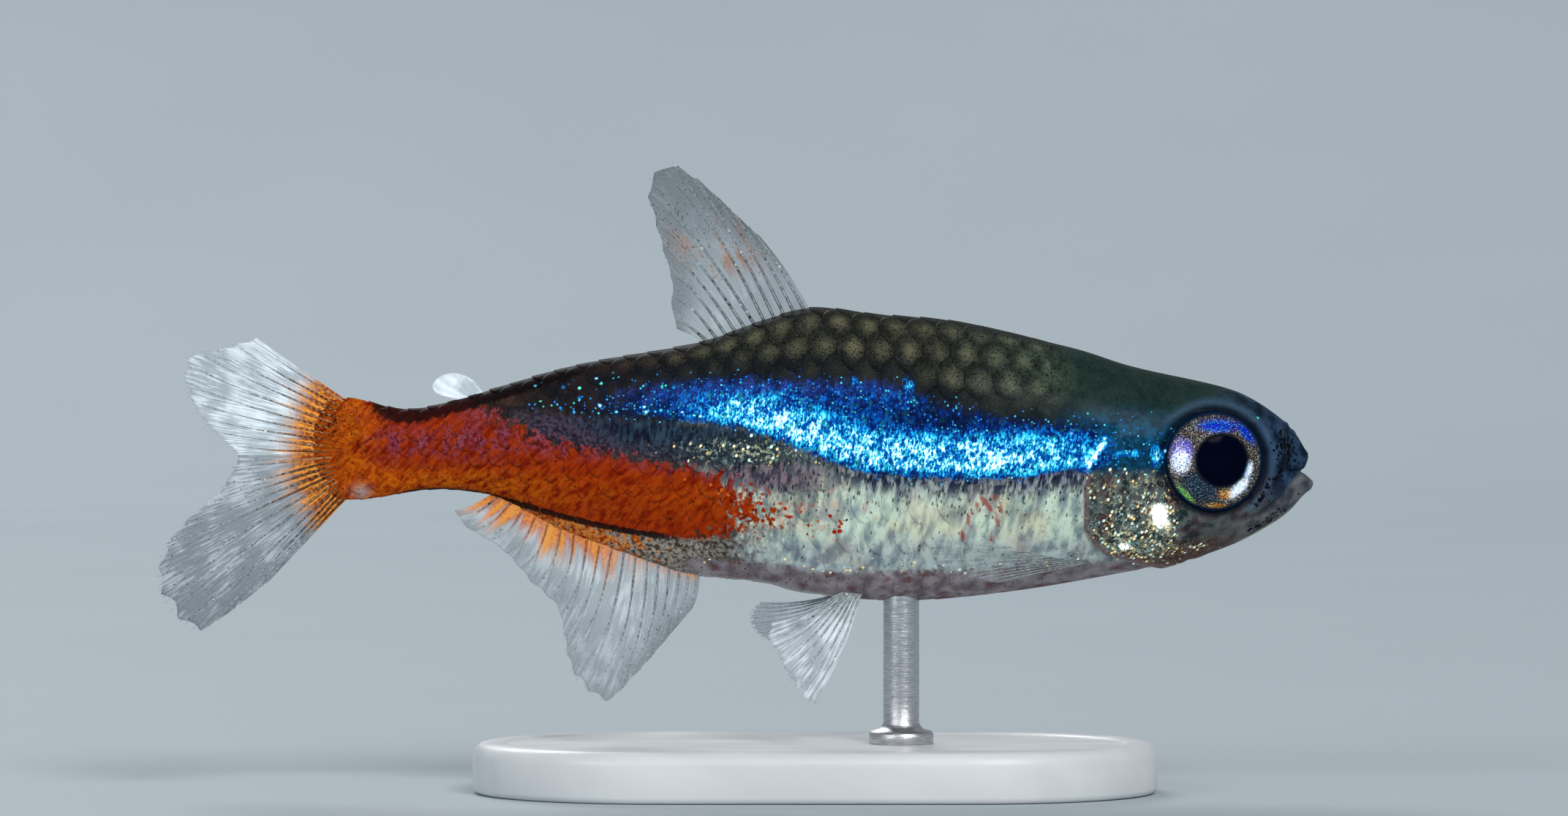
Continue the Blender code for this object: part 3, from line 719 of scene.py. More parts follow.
def flank_colours(g, colour):
    """Below the stripe: dark blue-grey behind, and the silver flank in front."""
    silver = g.between(g.streaks, (128, 150, 154), (212, 232, 210), 0.30, 0.64)
    silver = g.layers(
        silver,
        (g.rise(g.broad, 0.46, 0.60) * 0.60, g.between(g.streaks, (146, 142, 126), (222, 214, 178))),
        (g.rise(g.noise(1.6, 2.0), 0.58, 0.68) * 0.45, (150, 134, 150)),
        (g.rise(g.noise(2.1, 2.0), 0.63, 0.70) * 0.45, (214, 142, 118)),
    )
    strokes = g.rise(g.hatching + (g.clumps - 0.5) * 0.5, 0.58, 0.34) * 0.72
    silver = g.layers(
        silver,
        (g.mark["upper"] * strokes, (58, 76, 94)),
        (g.mark["fray"] * 0.70, (100, 106, 130)),
        (g.mark["fray"] * g.rise(g.hatching, 0.60, 0.44) * 0.95, (20, 28, 54)),
        (g.mark["lower"] * 0.60, g.between(g.streaks, (118, 126, 140), (172, 184, 192))),
        (g.rise(g.tone, 0.5, 1.0) * 0.15, (232, 244, 232)),
        (g.rise(g.mark["vessels"] + g.feather * 0.4, 0.35, 0.80) * 0.8, (160, 58, 54)),
    )
    colour = g.between(g.mark["silver"] + (g.streaks + g.fine - 1.0) * 0.8, colour, silver, 0.22, 0.78)
    navy = g.between(g.hatching, (8, 18, 38), (48, 70, 90))
    navy = g.mix(g.mark["purple"] * 0.85, navy, g.between(g.fine, (32, 26, 38), (84, 70, 86)))
    colour = g.between(g.mark["navy"] + g.feather * 0.7, colour, navy, 0.08, 0.92)

    colour = g.mix(g.mark["moss"] * 0.75, colour, g.between(g.fine, (22, 36, 46), (62, 78, 80)))
    moss = g.rise(g.noise(8.0, 3.0) + g.mark["moss"] * 0.12, 0.62, 0.72)
    colour = g.mix(moss * g.mark["moss"] * 0.9, colour, g.between(g.clumps, (112, 150, 144), (190, 198, 166)))
    mauve = g.rise(g.mark["mauve"] + g.feather * 0.9, 0.30, 0.95)
    return g.mix(mauve * 0.85, colour, g.between(g.hatching, (62, 56, 78), (142, 124, 132)))


def red_colours(g, colour):
    """Red muscle: deep above, orange below and behind, and ragged in front. Also the anal fin's base."""
    red = g.between(g.slanting, (120, 20, 0), (168, 54, 5), 0.30, 0.70)
    violet = g.mark["violet"] * g.rise(g.streaks + g.clumps, 0.80, 1.15)
    red = g.layers(
        red,
        (g.mark["orange"] * g.rise(g.slanting, 0.28, 0.62), g.between(g.fine, (172, 66, 2), (204, 104, 12))),
        (violet * 0.85, g.between(g.fine, (88, 12, 16), (146, 74, 96))),
    )
    edge = g.feather * 1.1 + (g.noise(5.0, 2.0) - 0.5) * 1.6
    reddened = g.rise(g.mark["red"] + edge, 0.26, 0.60) * g.rise(g.mark["red"], 0.02, 0.12)
    colour = g.layers(
        colour,
        (reddened, red),
        (g.mark["fan"] * g.rise(g.fine, 0.25, 0.75), (92, 30, 6)),
    )
    crumb, crumb_pick, crumb_hue, _ = g.cells(6.5)
    loose = g.rise(g.mark["spots"] * 0.60 + crumb_pick, 1.02, 1.08)
    crumbs = loose * g.rise(crumb + crumb_hue * 0.26, 0.54, 0.42)
    colour = g.mix(crumbs, colour, g.between(crumb_hue, (168, 40, 8), (214, 98, 34)))

    # The base of the anal fin: speckled grey in front, mottled orange and white behind.
    base = g.between(g.fine, (72, 60, 54), (176, 170, 156))
    rust = g.rise(g.noise(4.6, 2.0) + g.mark["hind"] * 0.42, 0.66, 0.86)
    base = g.mix(rust, base, g.between(g.fine, (160, 52, 2), (236, 150, 70)))
    return g.mix(g.mark["anal"], colour, base)


def underside_colours(g, colour):
    """The pink underside, under a pearly line."""
    pink = g.between(g.middling, (104, 92, 100), (156, 148, 152), 0.30, 0.70)
    clot, clot_pick, *_ = g.cells(2.3, g.stretched((0.8, 1.0, 1.2)))
    clot = g.rise(clot + (g.fine - 0.5) * 0.5, 0.48, 0.22)
    pink = g.mix(clot * g.rise(clot_pick, 0.2, 0.6) * 0.7, pink, (104, 52, 46))
    return g.layers(
        colour,
        (g.rise(g.mark["under"] + g.feather * 0.8, 0.20, 0.85), pink),
        (g.mark["pearl_line"] * g.rise(g.middling, 0.44, 0.66), (186, 210, 212)),
        (g.mark["fringe"] * 0.8, (190, 194, 190)),
    )


def head_colours(g, colour):
    """The head: dark teal crown, grey-blue snout and jaw, and a translucent dusky cheek."""
    cheek = g.between(g.noise(3.4, 4.0), (28, 40, 44), (96, 106, 104))
    cheek = g.mix(g.rise(g.noise(1.6, 2.0), 0.44, 0.62) * 0.6, cheek, (84, 56, 60))
    wire = abs(g.noise(3.0, 3.0, g.stretched((1.0, 1.0, 0.6), 0.5)) - 0.5)
    wires = g.rise(wire, 0.025, 0.004) * g.rise(g.mark["pearls"], 0.06, 0.30)
    cheek = g.mix(wires * 0.5, cheek, g.between(g.clumps, (176, 206, 200), (226, 210, 150)))
    colour = g.mix(g.mark["cheek"], colour, cheek)
    even = (g.grain + g.fine + g.middling) * (1 / 3)
    colour = g.layers(
        colour,
        (g.mark["crown"], g.between(even, (20, 38, 38), (36, 56, 50))),
        (g.mark["temple"], g.between(g.clumps + g.fine - 0.5, (4, 50, 76), (10, 84, 116), 0.34, 0.70)),
        (g.mark["snout"], g.between(g.middling, (12, 26, 44), (42, 64, 90))),
        (g.mark["jaw"] * 0.85, g.between(g.middling, (64, 70, 80), (116, 116, 116))),
        (g.mark["throat"] * 0.85, g.between(g.fine, (76, 38, 28), (112, 88, 74))),
        (g.mark["seam"] * 0.55, (150, 118, 122)),
        (g.rise(g.mark["chin"] + g.feather * 0.5, 0.1, 0.9) * 0.8, (196, 190, 160)),
        # Painted sheen on the upper front of the eye's rim.
        (g.mark["glass"] * 0.40, (78, 108, 140)),
    )
    mole, mole_pick, *_ = g.cells(8.0)
    moles = g.rise(mole, 0.40, 0.24) * g.rise(mole_pick + g.mark["moles"], 1.02, 1.14)
    smudge = g.rise(g.fine + g.mark["moles"] * 0.26, 0.62, 0.76)
    return g.layers(colour, (g.most(moles, smudge), (4, 8, 16)), (g.mark["orbit"] * 0.9, (4, 14, 32)))


def black_pigment(g, colour, margin):
    """Black pigment: specks on the back and snout, dashes at the top of the silver, and dark edges."""
    dot, dot_pick, dot_size, _ = g.cells(17.0)
    chosen = g.rise(dot_pick + margin * 0.40 + g.mark["crowd"] * 0.40, 0.44, 0.58)
    speck = g.rise(dot + dot_size * 0.20, 0.58, 0.36) * chosen
    colour = g.mix(speck * g.mark["specks"] * 0.85, colour, (4, 6, 8))
    dash, dash_pick, *_ = g.cells(13.0, g.stretched((1.0, 1.0, 0.32), 0.16))
    dashes = g.rise(dash, 0.40, 0.24) * g.rise(g.mark["dashes"] + dash_pick, 1.0, 1.1)
    edging = g.ragged(g.mark["edging"], 0.6) * 0.92
    return g.layers(colour, (dashes * 0.8, (16, 22, 34)), (edging, (14, 6, 8)))


def flesh_material(name, plates):
    """The living colours: olive back, neon stripe, red flank, silver belly and the head's own tints. With
    plates it also draws each scale's pale middle and dark margin."""
    g = FleshGraph(name)
    colour, margin = back_colours(g, plates)
    for paint_part in (flank_colours, red_colours, underside_colours, head_colours):
        colour = paint_part(g, colour)

    # The neon stripe: mirror cells from deep blue to white hot, thicker where it shimmers more. White hot is
    # painted reflection.
    upright = g.noise(16.0, 3.0, g.stretched((1.0, 1.0, 0.5), 0.22), 0.66)
    mirror = g.rise(upright + (g.clumps - 0.5) * 0.55, 0.37, 0.69)
    heat = mirror * (0.14 + g.mark["shimmer"] * 0.78) + g.mark["shimmer"] * 0.34
    neon = g.ramp(heat, NEON)
    neon = g.layers(
        neon,
        (g.rise(g.noise(5.0, 2.0), 0.56, 0.66) * g.mark["shimmer"] * 0.40, (60, 226, 196)),
        (g.mark["haze"] * g.rise(g.streaks + g.grain, 0.84, 1.30), (60, 84, 178)),
    )
    lit = g.rise(g.mark["shimmer"] + g.feather * 0.8, 0.20, 0.48)
    shining = g.most(g.ragged(g.mark["stripe"], 0.65, 0.22, 0.78), lit)
    colour = g.mix(shining, colour, neon)
    spark, _, spark_hue, spark_strength = glints(g, g.mark["sparks"], 13.0, g.place, 0.36)
    spark = spark * g.rise(spark_strength, -0.4, 0.8)
    azure = g.between(spark_hue, (24, 130, 246), (90, 246, 250), 0.3, 1.0)
    colour = g.mix(spark, colour, azure)
    colour = black_pigment(g, colour, margin)

    # Single painted glints: cyan and green ones behind and on the temple, silver and gold ones on the cheek.
    bead_glint, bead_middle, bead_hue, bead_strength = glints(g, g.mark["beads"], 6.5, g.place, 0.34)
    cyan = g.between(bead_hue, (16, 150, 236), (50, 236, 196), 0.55, 0.95)
    cyan = g.mix(bead_middle * g.rise(bead_strength, 0.2, 0.7), cyan, (226, 255, 255))
    bead_glint = bead_glint * g.rise(bead_strength, 0.0, 0.3)
    colour = g.mix(bead_glint, colour, cyan)
    leaning = g.stretched((1, 1, 0.75), 0.5)
    pearl_glint, pearl_middle, pearl_hue, pearl_strength = glints(g, g.mark["pearls"], 11.0, leaning, 0.42)
    shredded = g.noise(13.0, 3.0, g.stretched((1, 1, 0.7), 0.6), 0.65) + g.mark["pearls"] * 0.30
    shreds = g.rise(shredded, 0.64, 0.73) * g.rise(g.mark["pearls"], 0.03, 0.14)
    pearl_glint_colour = g.between(pearl_hue, (232, 196, 104), (196, 236, 222), 0.2, 0.9)
    pearl_glint_colour = g.mix(pearl_middle * g.rise(pearl_strength, 0.2, 0.7), pearl_glint_colour, (255, 255, 244))
    pearl_glint = pearl_glint * g.rise(pearl_strength, -0.3, 0.5)
    colour = g.layers(
        colour,
        (shreds * 0.85, g.between(g.clumps, (150, 190, 186), (224, 214, 168))),
        (pearl_glint, pearl_glint_colour),
    )
    # Painted highlight: the cheek's white flash, which also glows.
    blaze = g.rise(g.mark["flash"] + g.feather * 0.6 + (g.grain - 0.5) * 0.9, 0.55, 0.72)
    colour = g.mix(blaze, colour, (250, 254, 250))
    g.shade("Base Color", colour)

    painted_light = g.math("MAXIMUM", bead_glint, pearl_glint, True)
    glowing_core = g.rise(heat, 0.40, 0.80) * shining
    g.shade("Metallic", painted_light * 0.2)
    g.shade("Roughness", 0.50 + (g.fine - 0.5) * 0.2 - painted_light * 0.15)
    # Painted glow: the stripe's white-hot cells, the glints and the cheek's flash give off light of their
    # own.
    g.shade("Emission Color", g.mix(blaze, g.mix(pearl_glint, g.mix(bead_glint, neon, cyan), pearl_glint_colour), (255, 255, 255)))
    g.shade("Emission Strength", glowing_core * 0.35 + bead_glint * 0.3 + pearl_glint * 0.4 + blaze * 0.7 + spark * 0.2)
    g.shade("Normal", g.bumped(g.fine, 0.010))
    return g.material


# ---------------------------------------------------------------------------------------------------------
# The skin


def relief(points):
    """How far the skin stands out from its base: the bare head comes up to the CAD surface, with its bones,
    grooves, lips and nostrils."""
    x, z = points[:, 0], points[:, 2]
    head = gill_side(points)
    height = SCALE_DEPTH * head
    edge = -line_distance(points, GILL_LINE)
    near_gill = step(13.0, 12.0, x) * step(10.4, 9.8, z)
    height += near_gill * 0.035 * step(-0.03, 0.05, edge) * step(1.3, 0.25, edge)
    height -= near_gill * 0.03 * bump(-0.09, 0.09, edge)
    cheek = line_distance(points, CHEEK_LINE)
    height -= 0.045 * bump(0.0, 0.07, cheek) * step(6.3, 6.7, z)
    height += 0.02 * bump(-0.22, 0.16, cheek)
    height -= 0.025 * bump(0.0, 0.05, line_distance(points, COVER_SEAM))
    eye_gap = np.hypot(x - EYE_X, z - EYE_Z)
    height += 0.035 * bump(1.60, 0.10, eye_gap) - 0.02 * bump(2.02, 0.08, eye_gap) * step(9.6, 8.9, z)
    mouth = line_distance(points, MOUTH_GROOVE)
    on_mouth = step(14.0, 14.5, x)
    height -= 0.09 * bump(0.0, 0.055, mouth) * on_mouth
    height += 0.03 * bump(0.19, 0.10, mouth) * on_mouth * step(15.9, 15.5, x)
    height -= 0.03 * bump(0.38, 0.05, mouth) * step(14.3, 14.8, x) * step(15.6, 15.3, x)
    height += 0.02 * bump(-0.16, 0.09, mouth) * on_mouth
    nostril = np.hypot(x - NOSTRIL_X, z - NOSTRIL_Z)
    height += 0.025 * bump(0.17, 0.07, nostril) - 0.07 * bump(0.0, 0.10, nostril)
    height += 0.06 * bump(0.0, 0.13, np.hypot(x - NOSTRIL_X - 0.14, z - NOSTRIL_Z - 0.24))
    return height


def eye_frame(side):
    """An eye's centre, the way it looks, and the directions ahead and up in its plane."""
    look = np.array([math.sin(EYE_TURN), side * math.cos(EYE_TURN), 0.0])
    ahead = np.array([math.cos(EYE_TURN), -side * math.sin(EYE_TURN), 0.0])
    return np.array([EYE_X, side * EYE_Y, EYE_Z]), look, ahead, np.array([0.0, 0.0, 1.0])


def sink_sockets(points):
    """Draws the skin in under each eyeball, with a soft rim round it."""
    rim, reach = 0.10, 2.1
    for side, _ in SIDES:
        centre, look, _, _ = eye_frame(side)
        offset = points - centre
        depth = offset @ look
        flat = offset - depth[:, None] * look
        gap = np.linalg.norm(flat, axis=1)
        here = (points[:, 1] * side > 0) & (gap < reach)
        inside = rim - 0.30 * (1 - gap / ORBIT_RADIUS)
        outside = depth + (np.minimum(depth, rim) - depth) * step(ORBIT_RADIUS + 0.42, ORBIT_RADIUS, gap)
        sunk = np.where(gap < ORBIT_RADIUS, inside, outside)
        points[here] += ((sunk - depth)[:, None] * look)[here]
    return points


def skin_rings():
    """The X of every ring of the skin, and the shares of the body's width and height that it keeps."""
    body = np.linspace(TAIL_ROOT_X, NAPE_X, BODY_RINGS, endpoint=False)
    head = np.linspace(NAPE_X, LIPS_X, HEAD_RINGS)
    turn = np.radians(CAP_TURNS)
    tail_x = TAIL_ROOT_X - TAIL_CAP * np.sin(turn[::-1])
    nose_x = LIPS_X + NOSE_CAP * np.sin(turn)
    xs = np.concatenate([tail_x, body, head, nose_x])
    slim = slimness(np.concatenate([body, head]))
    wide = np.concatenate([slim[0] * np.cos(turn[::-1]), slim, np.cos(turn)])
    tall = np.concatenate([np.cos(turn[::-1]) ** 0.4, np.ones(len(body) + len(head)), np.cos(turn)])
    return xs, wide, tall


def unwrap_along(x):
    """How far along the unwrap this X is."""
    return (x - UNWRAP_START) / UNWRAP_SPAN


def unwrap_skin(skin, xs, columns, wrapped):
    """The unwrap: along the body by X, and round it from the back down the left side and up the right. Of the
    first wrapped corners, those that close the round run on to 1."""
    v = np.tile(np.arange(columns) / columns, len(xs))
    uv = np.stack([np.repeat(unwrap_along(xs), columns), v], -1)[corner_points(skin)]
    rounds = uv[:wrapped, 1].reshape(-1, 4)
    rounds[(rounds.max(1) > 0.9)[:, None] & (rounds < 0.1)] += 1.0
    uv[:wrapped, 1] = rounds.ravel()
    set_uv(skin, "OFBake", uv)


def skin_caps(rings, columns):
    """The quads across the skin's first and last rings, and the triangles at both ends of each."""
    k = np.arange(1, HALF_COLUMNS - 1)
    caps, ends = [], []
    for first, order in ((0, -1), ((rings - 1) * columns, 1)):
        cap = np.stack([first + k, first + columns - k, first + columns - k - 1, first + k + 1], -1)
        caps.append(cap[:, ::order])
        tips = np.array([
            [first, first + columns - 1, first + 1],
            [first + HALF_COLUMNS - 1, first + HALF_COLUMNS + 1, first + HALF_COLUMNS],
        ])
        ends.append(tips[:, ::order])
    return caps, ends


def build_skin():
    """One closed skin from the tail's root to the lips, over the head, trunk, gill covers and tail stem."""
    xs, wide, tall = skin_rings()
    inner = np.clip(xs, TAIL_ROOT_X, LIPS_X)
    shares = np.linspace(0.0, 1.0, HALF_COLUMNS + 1)
    angles = angle_at(inner[:, None] + 0 * shares, shares + 0 * xs[:, None])
    left = body_surface(inner[:, None], angles, -SCALE_DEPTH)
    normals = surface_normal(inner[:, None], angles, -SCALE_DEPTH)
    normals[:, [0, -1], 1] = 0.0
    middle = np.where(xs > 0, MOUTH_NOTCH_Z, TAIL_MIDDLE_Z)
    left[..., 1] *= wide[:, None]
    left[..., 2] = middle[:, None] + (left[..., 2] - middle[:, None]) * tall[:, None]
    # The flesh ends on the tail fin in a bulge, drawn out in teeth along the fin's rays.
    z = left[..., 2]
    bulge = 0.22 * bump(9.6, 0.8, z) - 0.25 * step(8.9, 8.2, z) - 0.08 * step(10.3, 10.7, z)
    teeth = TOOTH_LENGTH * (0.5 + 0.5 * np.sin(2 * math.pi * z / TOOTH_PITCH + 1.5 * np.sin(5 * z)))
    at_tail = step(TAIL_ROOT_X + 0.7, TAIL_ROOT_X - TAIL_CAP, xs)[:, None]
    left[..., 0] = xs[:, None] - at_tail * (bulge + teeth)
    fade = np.minimum(wide, 1.0)[:, None]
    flat = left.reshape(-1, 3)
    lift = (relief(flat).reshape(left.shape[:2]) * fade)[..., None]
    left += normals * lift
    # The lips: the lower one reaches past the upper, with the mouth's notch between them.
    z, weight = left[..., 2], step(15.1, 15.85, xs)[:, None]
    lips = LOWER_LIP_REACH * bump(LOWER_LIP_Z, 0.22, z) - 0.12 * bump(MOUTH_NOTCH_Z, 0.07, z)
    lips -= 0.09 * step(9.36, 8.95, z) * step(8.6, 8.85, z) + 0.03 * step(9.3, 9.6, z)
    left[..., 0] += weight * (lips - 0.30 * np.minimum(np.abs(left[..., 1]) / 0.5, 1.3) ** 2)
    left[:, [0, -1], 1] = 0.0
    mirror = left[:, -2:0:-1] * [1, -1, 1]
    points = np.concatenate([left, mirror], axis=1)
    columns = points.shape[1]
    points = sink_sockets(points.reshape(-1, 3))
    quads = grid_quads(len(xs), columns, closed=True)
    caps, ends = skin_caps(len(xs), columns)
    skin = mesh_object("skin", points, np.concatenate([quads[:, ::-1], *caps]), np.concatenate(ends))
    unwrap_skin(skin, xs, columns, quads.size)
    return skin, points


# ---------------------------------------------------------------------------------------------------------
# Scales


def on_body(x, arc, height):
    """A place on the left flank by its distance down from the midline of the back. Beyond either midline it
    goes on round the other side."""
    girth = half_girth(x)
    past_back, past_belly = arc < 0, arc > girth
    inner = np.where(past_back, -arc, np.where(past_belly, 2 * girth - arc, arc))
    angle = angle_at(x, np.clip(inner / girth, 0, 1))
    place = body_surface(x, angle, -SCALE_DEPTH) + surface_normal(x, angle) * height[..., None]
    place[..., 1] *= np.where(past_back | past_belly, -1.0, 1.0) * slimness(x)
    return place


def scale_pitch(x):
    """How far it is from each scale to the next one behind it."""
    return TAIL_PITCH + PITCH_GAIN * step(-9.0, 3.0, x)


def row_count(x):
    """How many rows of scales there are from back to belly. Some of them end along the anal fin's base."""
    return TRUNK_ROWS - ROWS_LOST * step(0.0, -8.5, x)


def scale_roots(side, random):
    """The X and arc of every scale's root on one side. Rows along the midlines belong to the left side."""
    starts = [SCALES_FROM]
    while starts[-1] > SCALES_TO:
        starts.append(starts[-1] - scale_pitch(starts[-1]) / 2)
    first, past = (0, 0.25) if side > 0 else (1, -0.25)
    roots = []
    for k, x in enumerate(starts):
        rows = float(row_count(x))
        gap = float(half_girth(x)) / rows
        roots += [(x, row * gap) for row in range(first, MOST_ROWS) if row % 2 == k % 2 and row < rows + past]
    roots = np.array(roots)
    return roots + random.uniform(-ROOT_SCATTER, ROOT_SCATTER, roots.shape)


def build_scales(name, side, random):
    """All the scales of one side: closed thin plates, each lying over the root of the next."""
    roots = scale_roots(side, random)
    x0, arc0 = roots[:, 0, None, None], roots[:, 1, None, None]
    turn = np.radians(np.linspace(*PLATE_TURNS, PLATE_ROWS))[None, :, None]
    reach = (np.sin(turn) - np.sin(turn[:, :1])) / (1 - np.sin(turn[:, :1]))
    across = np.linspace(-1.0, 1.0, PLATE_COLUMNS)[None, None, :]
    length = PLATE_LENGTH * scale_pitch(x0)
    half = PLATE_HALF * half_girth(x0) / row_count(x0) * np.cos(turn)
    x = x0 - length * reach + 0 * across
    arc = arc0 + half * across
    lift = PLATE_LIFT * random.uniform(0.85, 1.1, x0.shape) * (1 - 0.75 * step(6.5, 9.4, x0))
    lift *= 1 - 0.35 * step(0.35, 0.60, arc0 / half_girth(x0))
    top = PLATE_ROOT + lift * reach**0.8 - 0.018 * across**2 * np.cos(turn) + 0 * x
    upper = on_body(x, arc, top)
    lower = on_body(x, arc, top - PLATE_THICKNESS)
    upper[..., 1] *= side
    lower[..., 1] *= side
    count = len(roots)
    points = np.concatenate([upper.reshape(count, -1, 3), lower.reshape(count, -1, 3)], axis=1)
    faces = sheet_faces(PLATE_ROWS, PLATE_COLUMNS)
    if side > 0:
        faces = faces[:, ::-1]
    faces = (faces[None] + np.arange(count)[:, None, None] * points.shape[1]).reshape(-1, 4)
    points = points.reshape(-1, 3)
    scales = mesh_object(name, points, faces)
    share = np.stack(np.broadcast_arrays(reach + 0 * x, (across + 1) / 2 + 0 * x), -1).reshape(count, -1, 2)
    share = np.concatenate([share, share], axis=1)
    root_v = roots[:, 1] / half_girth(roots[:, 0]) / 2
    root = np.stack([unwrap_along(roots[:, 0]), root_v if side > 0 else 1 - root_v], -1)
    patch = np.clip(root[:, None] + (share - 0.5) * PATCH, 0, 1)
    corners = corner_points(scales)
    set_uv(scales, "Plate", share.reshape(-1, 2)[corners])
    set_uv(scales, "OFBake", patch.reshape(-1, 2)[corners])
    set_attribute(scales, "tone", np.repeat(random.uniform(0, 1, count), share.shape[1]))
    return scales, points


# ---------------------------------------------------------------------------------------------------------
# Eyes


def build_eye(name, side):
    """A closed eyeball, finely ringed in front. Its points carry their places in its side view."""
    centre, look, ahead, up = eye_frame(side)
    turns = spokes(EYE_SPOKES)
    front = np.sin(np.linspace(0, math.pi / 2, EYE_RINGS + 1)[1:])
    back = np.cos(np.linspace(0, math.pi / 2, EYE_BACK_RINGS + 2)[1:-1])
    radii = np.concatenate([front, back]) * EYE_RADIUS
    heights = EYE_HALF_DEPTH * np.sqrt(np.maximum(1 - (radii / EYE_RADIUS) ** 2, 0))
    heights[len(front):] *= -EYE_BACK_SHARE
    ring = radii[:, None]
    a, b = ring * np.cos(turns), ring * np.sin(turns)
    places = centre + a[..., None] * ahead + b[..., None] * up + heights[:, None, None] * look
    poles = [centre + EYE_HALF_DEPTH * look, centre - EYE_BACK_SHARE * EYE_HALF_DEPTH * look]
    points = np.concatenate([places.reshape(-1, 3), poles])
    eye = mesh_object(name, points, *ring_faces(len(radii), EYE_SPOKES))
    offset = points - centre
    set_attribute(eye, "ahead", offset[:, 0])
    set_attribute(eye, "up", offset[:, 2])
    return eye


def eye_material():
    """A navy iris full of silver, blue and gold glitter round a black pupil, with a faint wet gloss."""
    g = Graph("eye_wet", Specular_IOR_Level=0.03, IOR=1.35)
    plane = g.combine(g.attribute("ahead"), g.attribute("up"))
    radius = g.length(plane)
    pupil_gap = g.length(g.beyond(plane, (PUPIL_AHEAD, PUPIL_UP, 0.0)))
    grain, fine, clumps = g.noise(26.0, 2.0, plane), g.noise(14.0, 2.0, plane), g.noise(4.0, 2.0, plane)

    def patch(where_ahead, where_up, width, height, turn=0.0):
        """A soft oval patch of the iris, its edge broken up."""
        offset = g.beyond(plane, (where_ahead, where_up, 0.0))
        oval = g.mapped(offset, (0.0, 0.0, math.radians(turn)), (width, height, 1.0))
        rough = g.length(oval) + (fine - 0.5) * 0.9
        return g.rise(rough, 1.20, 0.40)

    ring = g.rise(radius, 1.35, 1.22) * g.rise(pupil_gap, 0.70, 0.80)
    # Painted highlights: white glints at the hind edge and low in front, as patches of pale glitter that
    # glow.
    hind_glint = patch(-0.95, -0.02, 0.34, 0.40)
    fore_glint = g.most(patch(0.92, -0.24, 0.15, 0.28, -18), patch(0.68, -0.72, 0.18, 0.44, -44))
    blue_top = g.most(patch(0.10, 0.98, 0.66, 0.22), patch(0.86, 0.80, 0.46, 0.16, -48))
    violet_hind = patch(-0.92, 0.30, 0.36, 0.40)
    gold_low = g.most(patch(0.30, -0.90, 0.28, 0.18), patch(0.05, -1.22, 0.40, 0.10, -4))
    teal_low = patch(-0.42, -0.72, 0.66, 0.40, -34)
    green_arc = patch(-0.80, -0.90, 0.10, 0.46, 42)

    base = g.between(clumps, (6, 12, 32), (40, 42, 46), 0.35, 0.65)
    base = g.layers(
        base,
        (teal_low * 0.9, (3, 48, 74)),
        (blue_top * 0.9, (10, 34, 150)),
        (violet_hind * 0.7, (70, 76, 170)),
        (fore_glint * 0.8, (90, 180, 224)),
    )

    density = 0.26 + hind_glint * 0.34 + fore_glint * 0.48 + violet_hind * 0.16
    density = density + gold_low * 0.25 + green_arc * 0.35 - teal_low * 0.20
    _, hue, strength, _ = g.cells(20.0, plane)
    mirror = g.noise(25.0, 3.0, plane, 0.7)
    lit = g.rise(mirror + density * 0.24, 0.55, 0.66) * ring
    fleck = g.between(hue, (128, 104, 80), (196, 192, 178), 0.2, 0.8)
    fleck = g.layers(
        fleck,
        (blue_top, g.between(hue, (30, 60, 255), (70, 200, 255), 0.3, 0.9)),
        (violet_hind, g.between(hue, (90, 100, 255), (220, 200, 240), 0.3, 0.9)),
        (green_arc, g.mix(hue, (30, 226, 150), (190, 236, 90))),
        (gold_low, g.mix(hue, (226, 120, 22), (255, 214, 120))),
    )
    painted_light = g.most(hind_glint, fore_glint)
    fleck = g.mix(painted_light, fleck, g.mix(hue, (190, 214, 255), (255, 255, 255)))
    colour = g.mix(lit * g.rise(strength, -0.6, 0.5), base, fleck)
    colour = g.layers(
        colour,
        (g.rise(radius, 1.24, 1.34), (3, 30, 58)),
        (g.rise(radius, 1.34, 1.41), (5, 10, 22)),
        (g.rise(pupil_gap, 0.86, 0.70) * 0.7, (5, 8, 20)),
    )
    pupil = g.rise(pupil_gap, PUPIL_RADIUS + 0.02, PUPIL_RADIUS - 0.02)
    colour = g.mix(pupil, colour, (1, 4, 22))
    g.shade("Base Color", colour)
    g.shade("Metallic", lit * 0.3)
    g.shade("Roughness", 0.42 - pupil * 0.30)
    # Painted glow: the glitter gives off light, most where the white glints are painted.
    g.shade("Emission Color", fleck)
    g.shade("Emission Strength", lit * (0.08 + painted_light * 0.6))
    g.shade("Normal", g.bumped(grain * (1.0 - pupil), 0.008))
    return g.material


# ---------------------------------------------------------------------------------------------------------
# Fins


def line_through(points):
    """A smooth line in the side view, as in the CAD. It gives X and Z at a share of the way along it."""
    points = np.array(points, float)
    along = np.concatenate([[0.0], np.cumsum(np.linalg.norm(np.diff(points, axis=0), axis=1))])
    x_of, z_of = (spline(list(zip(along / along[-1], points[:, k]))) for k in (0, 1))
    return lambda share: (x_of(share), z_of(share))


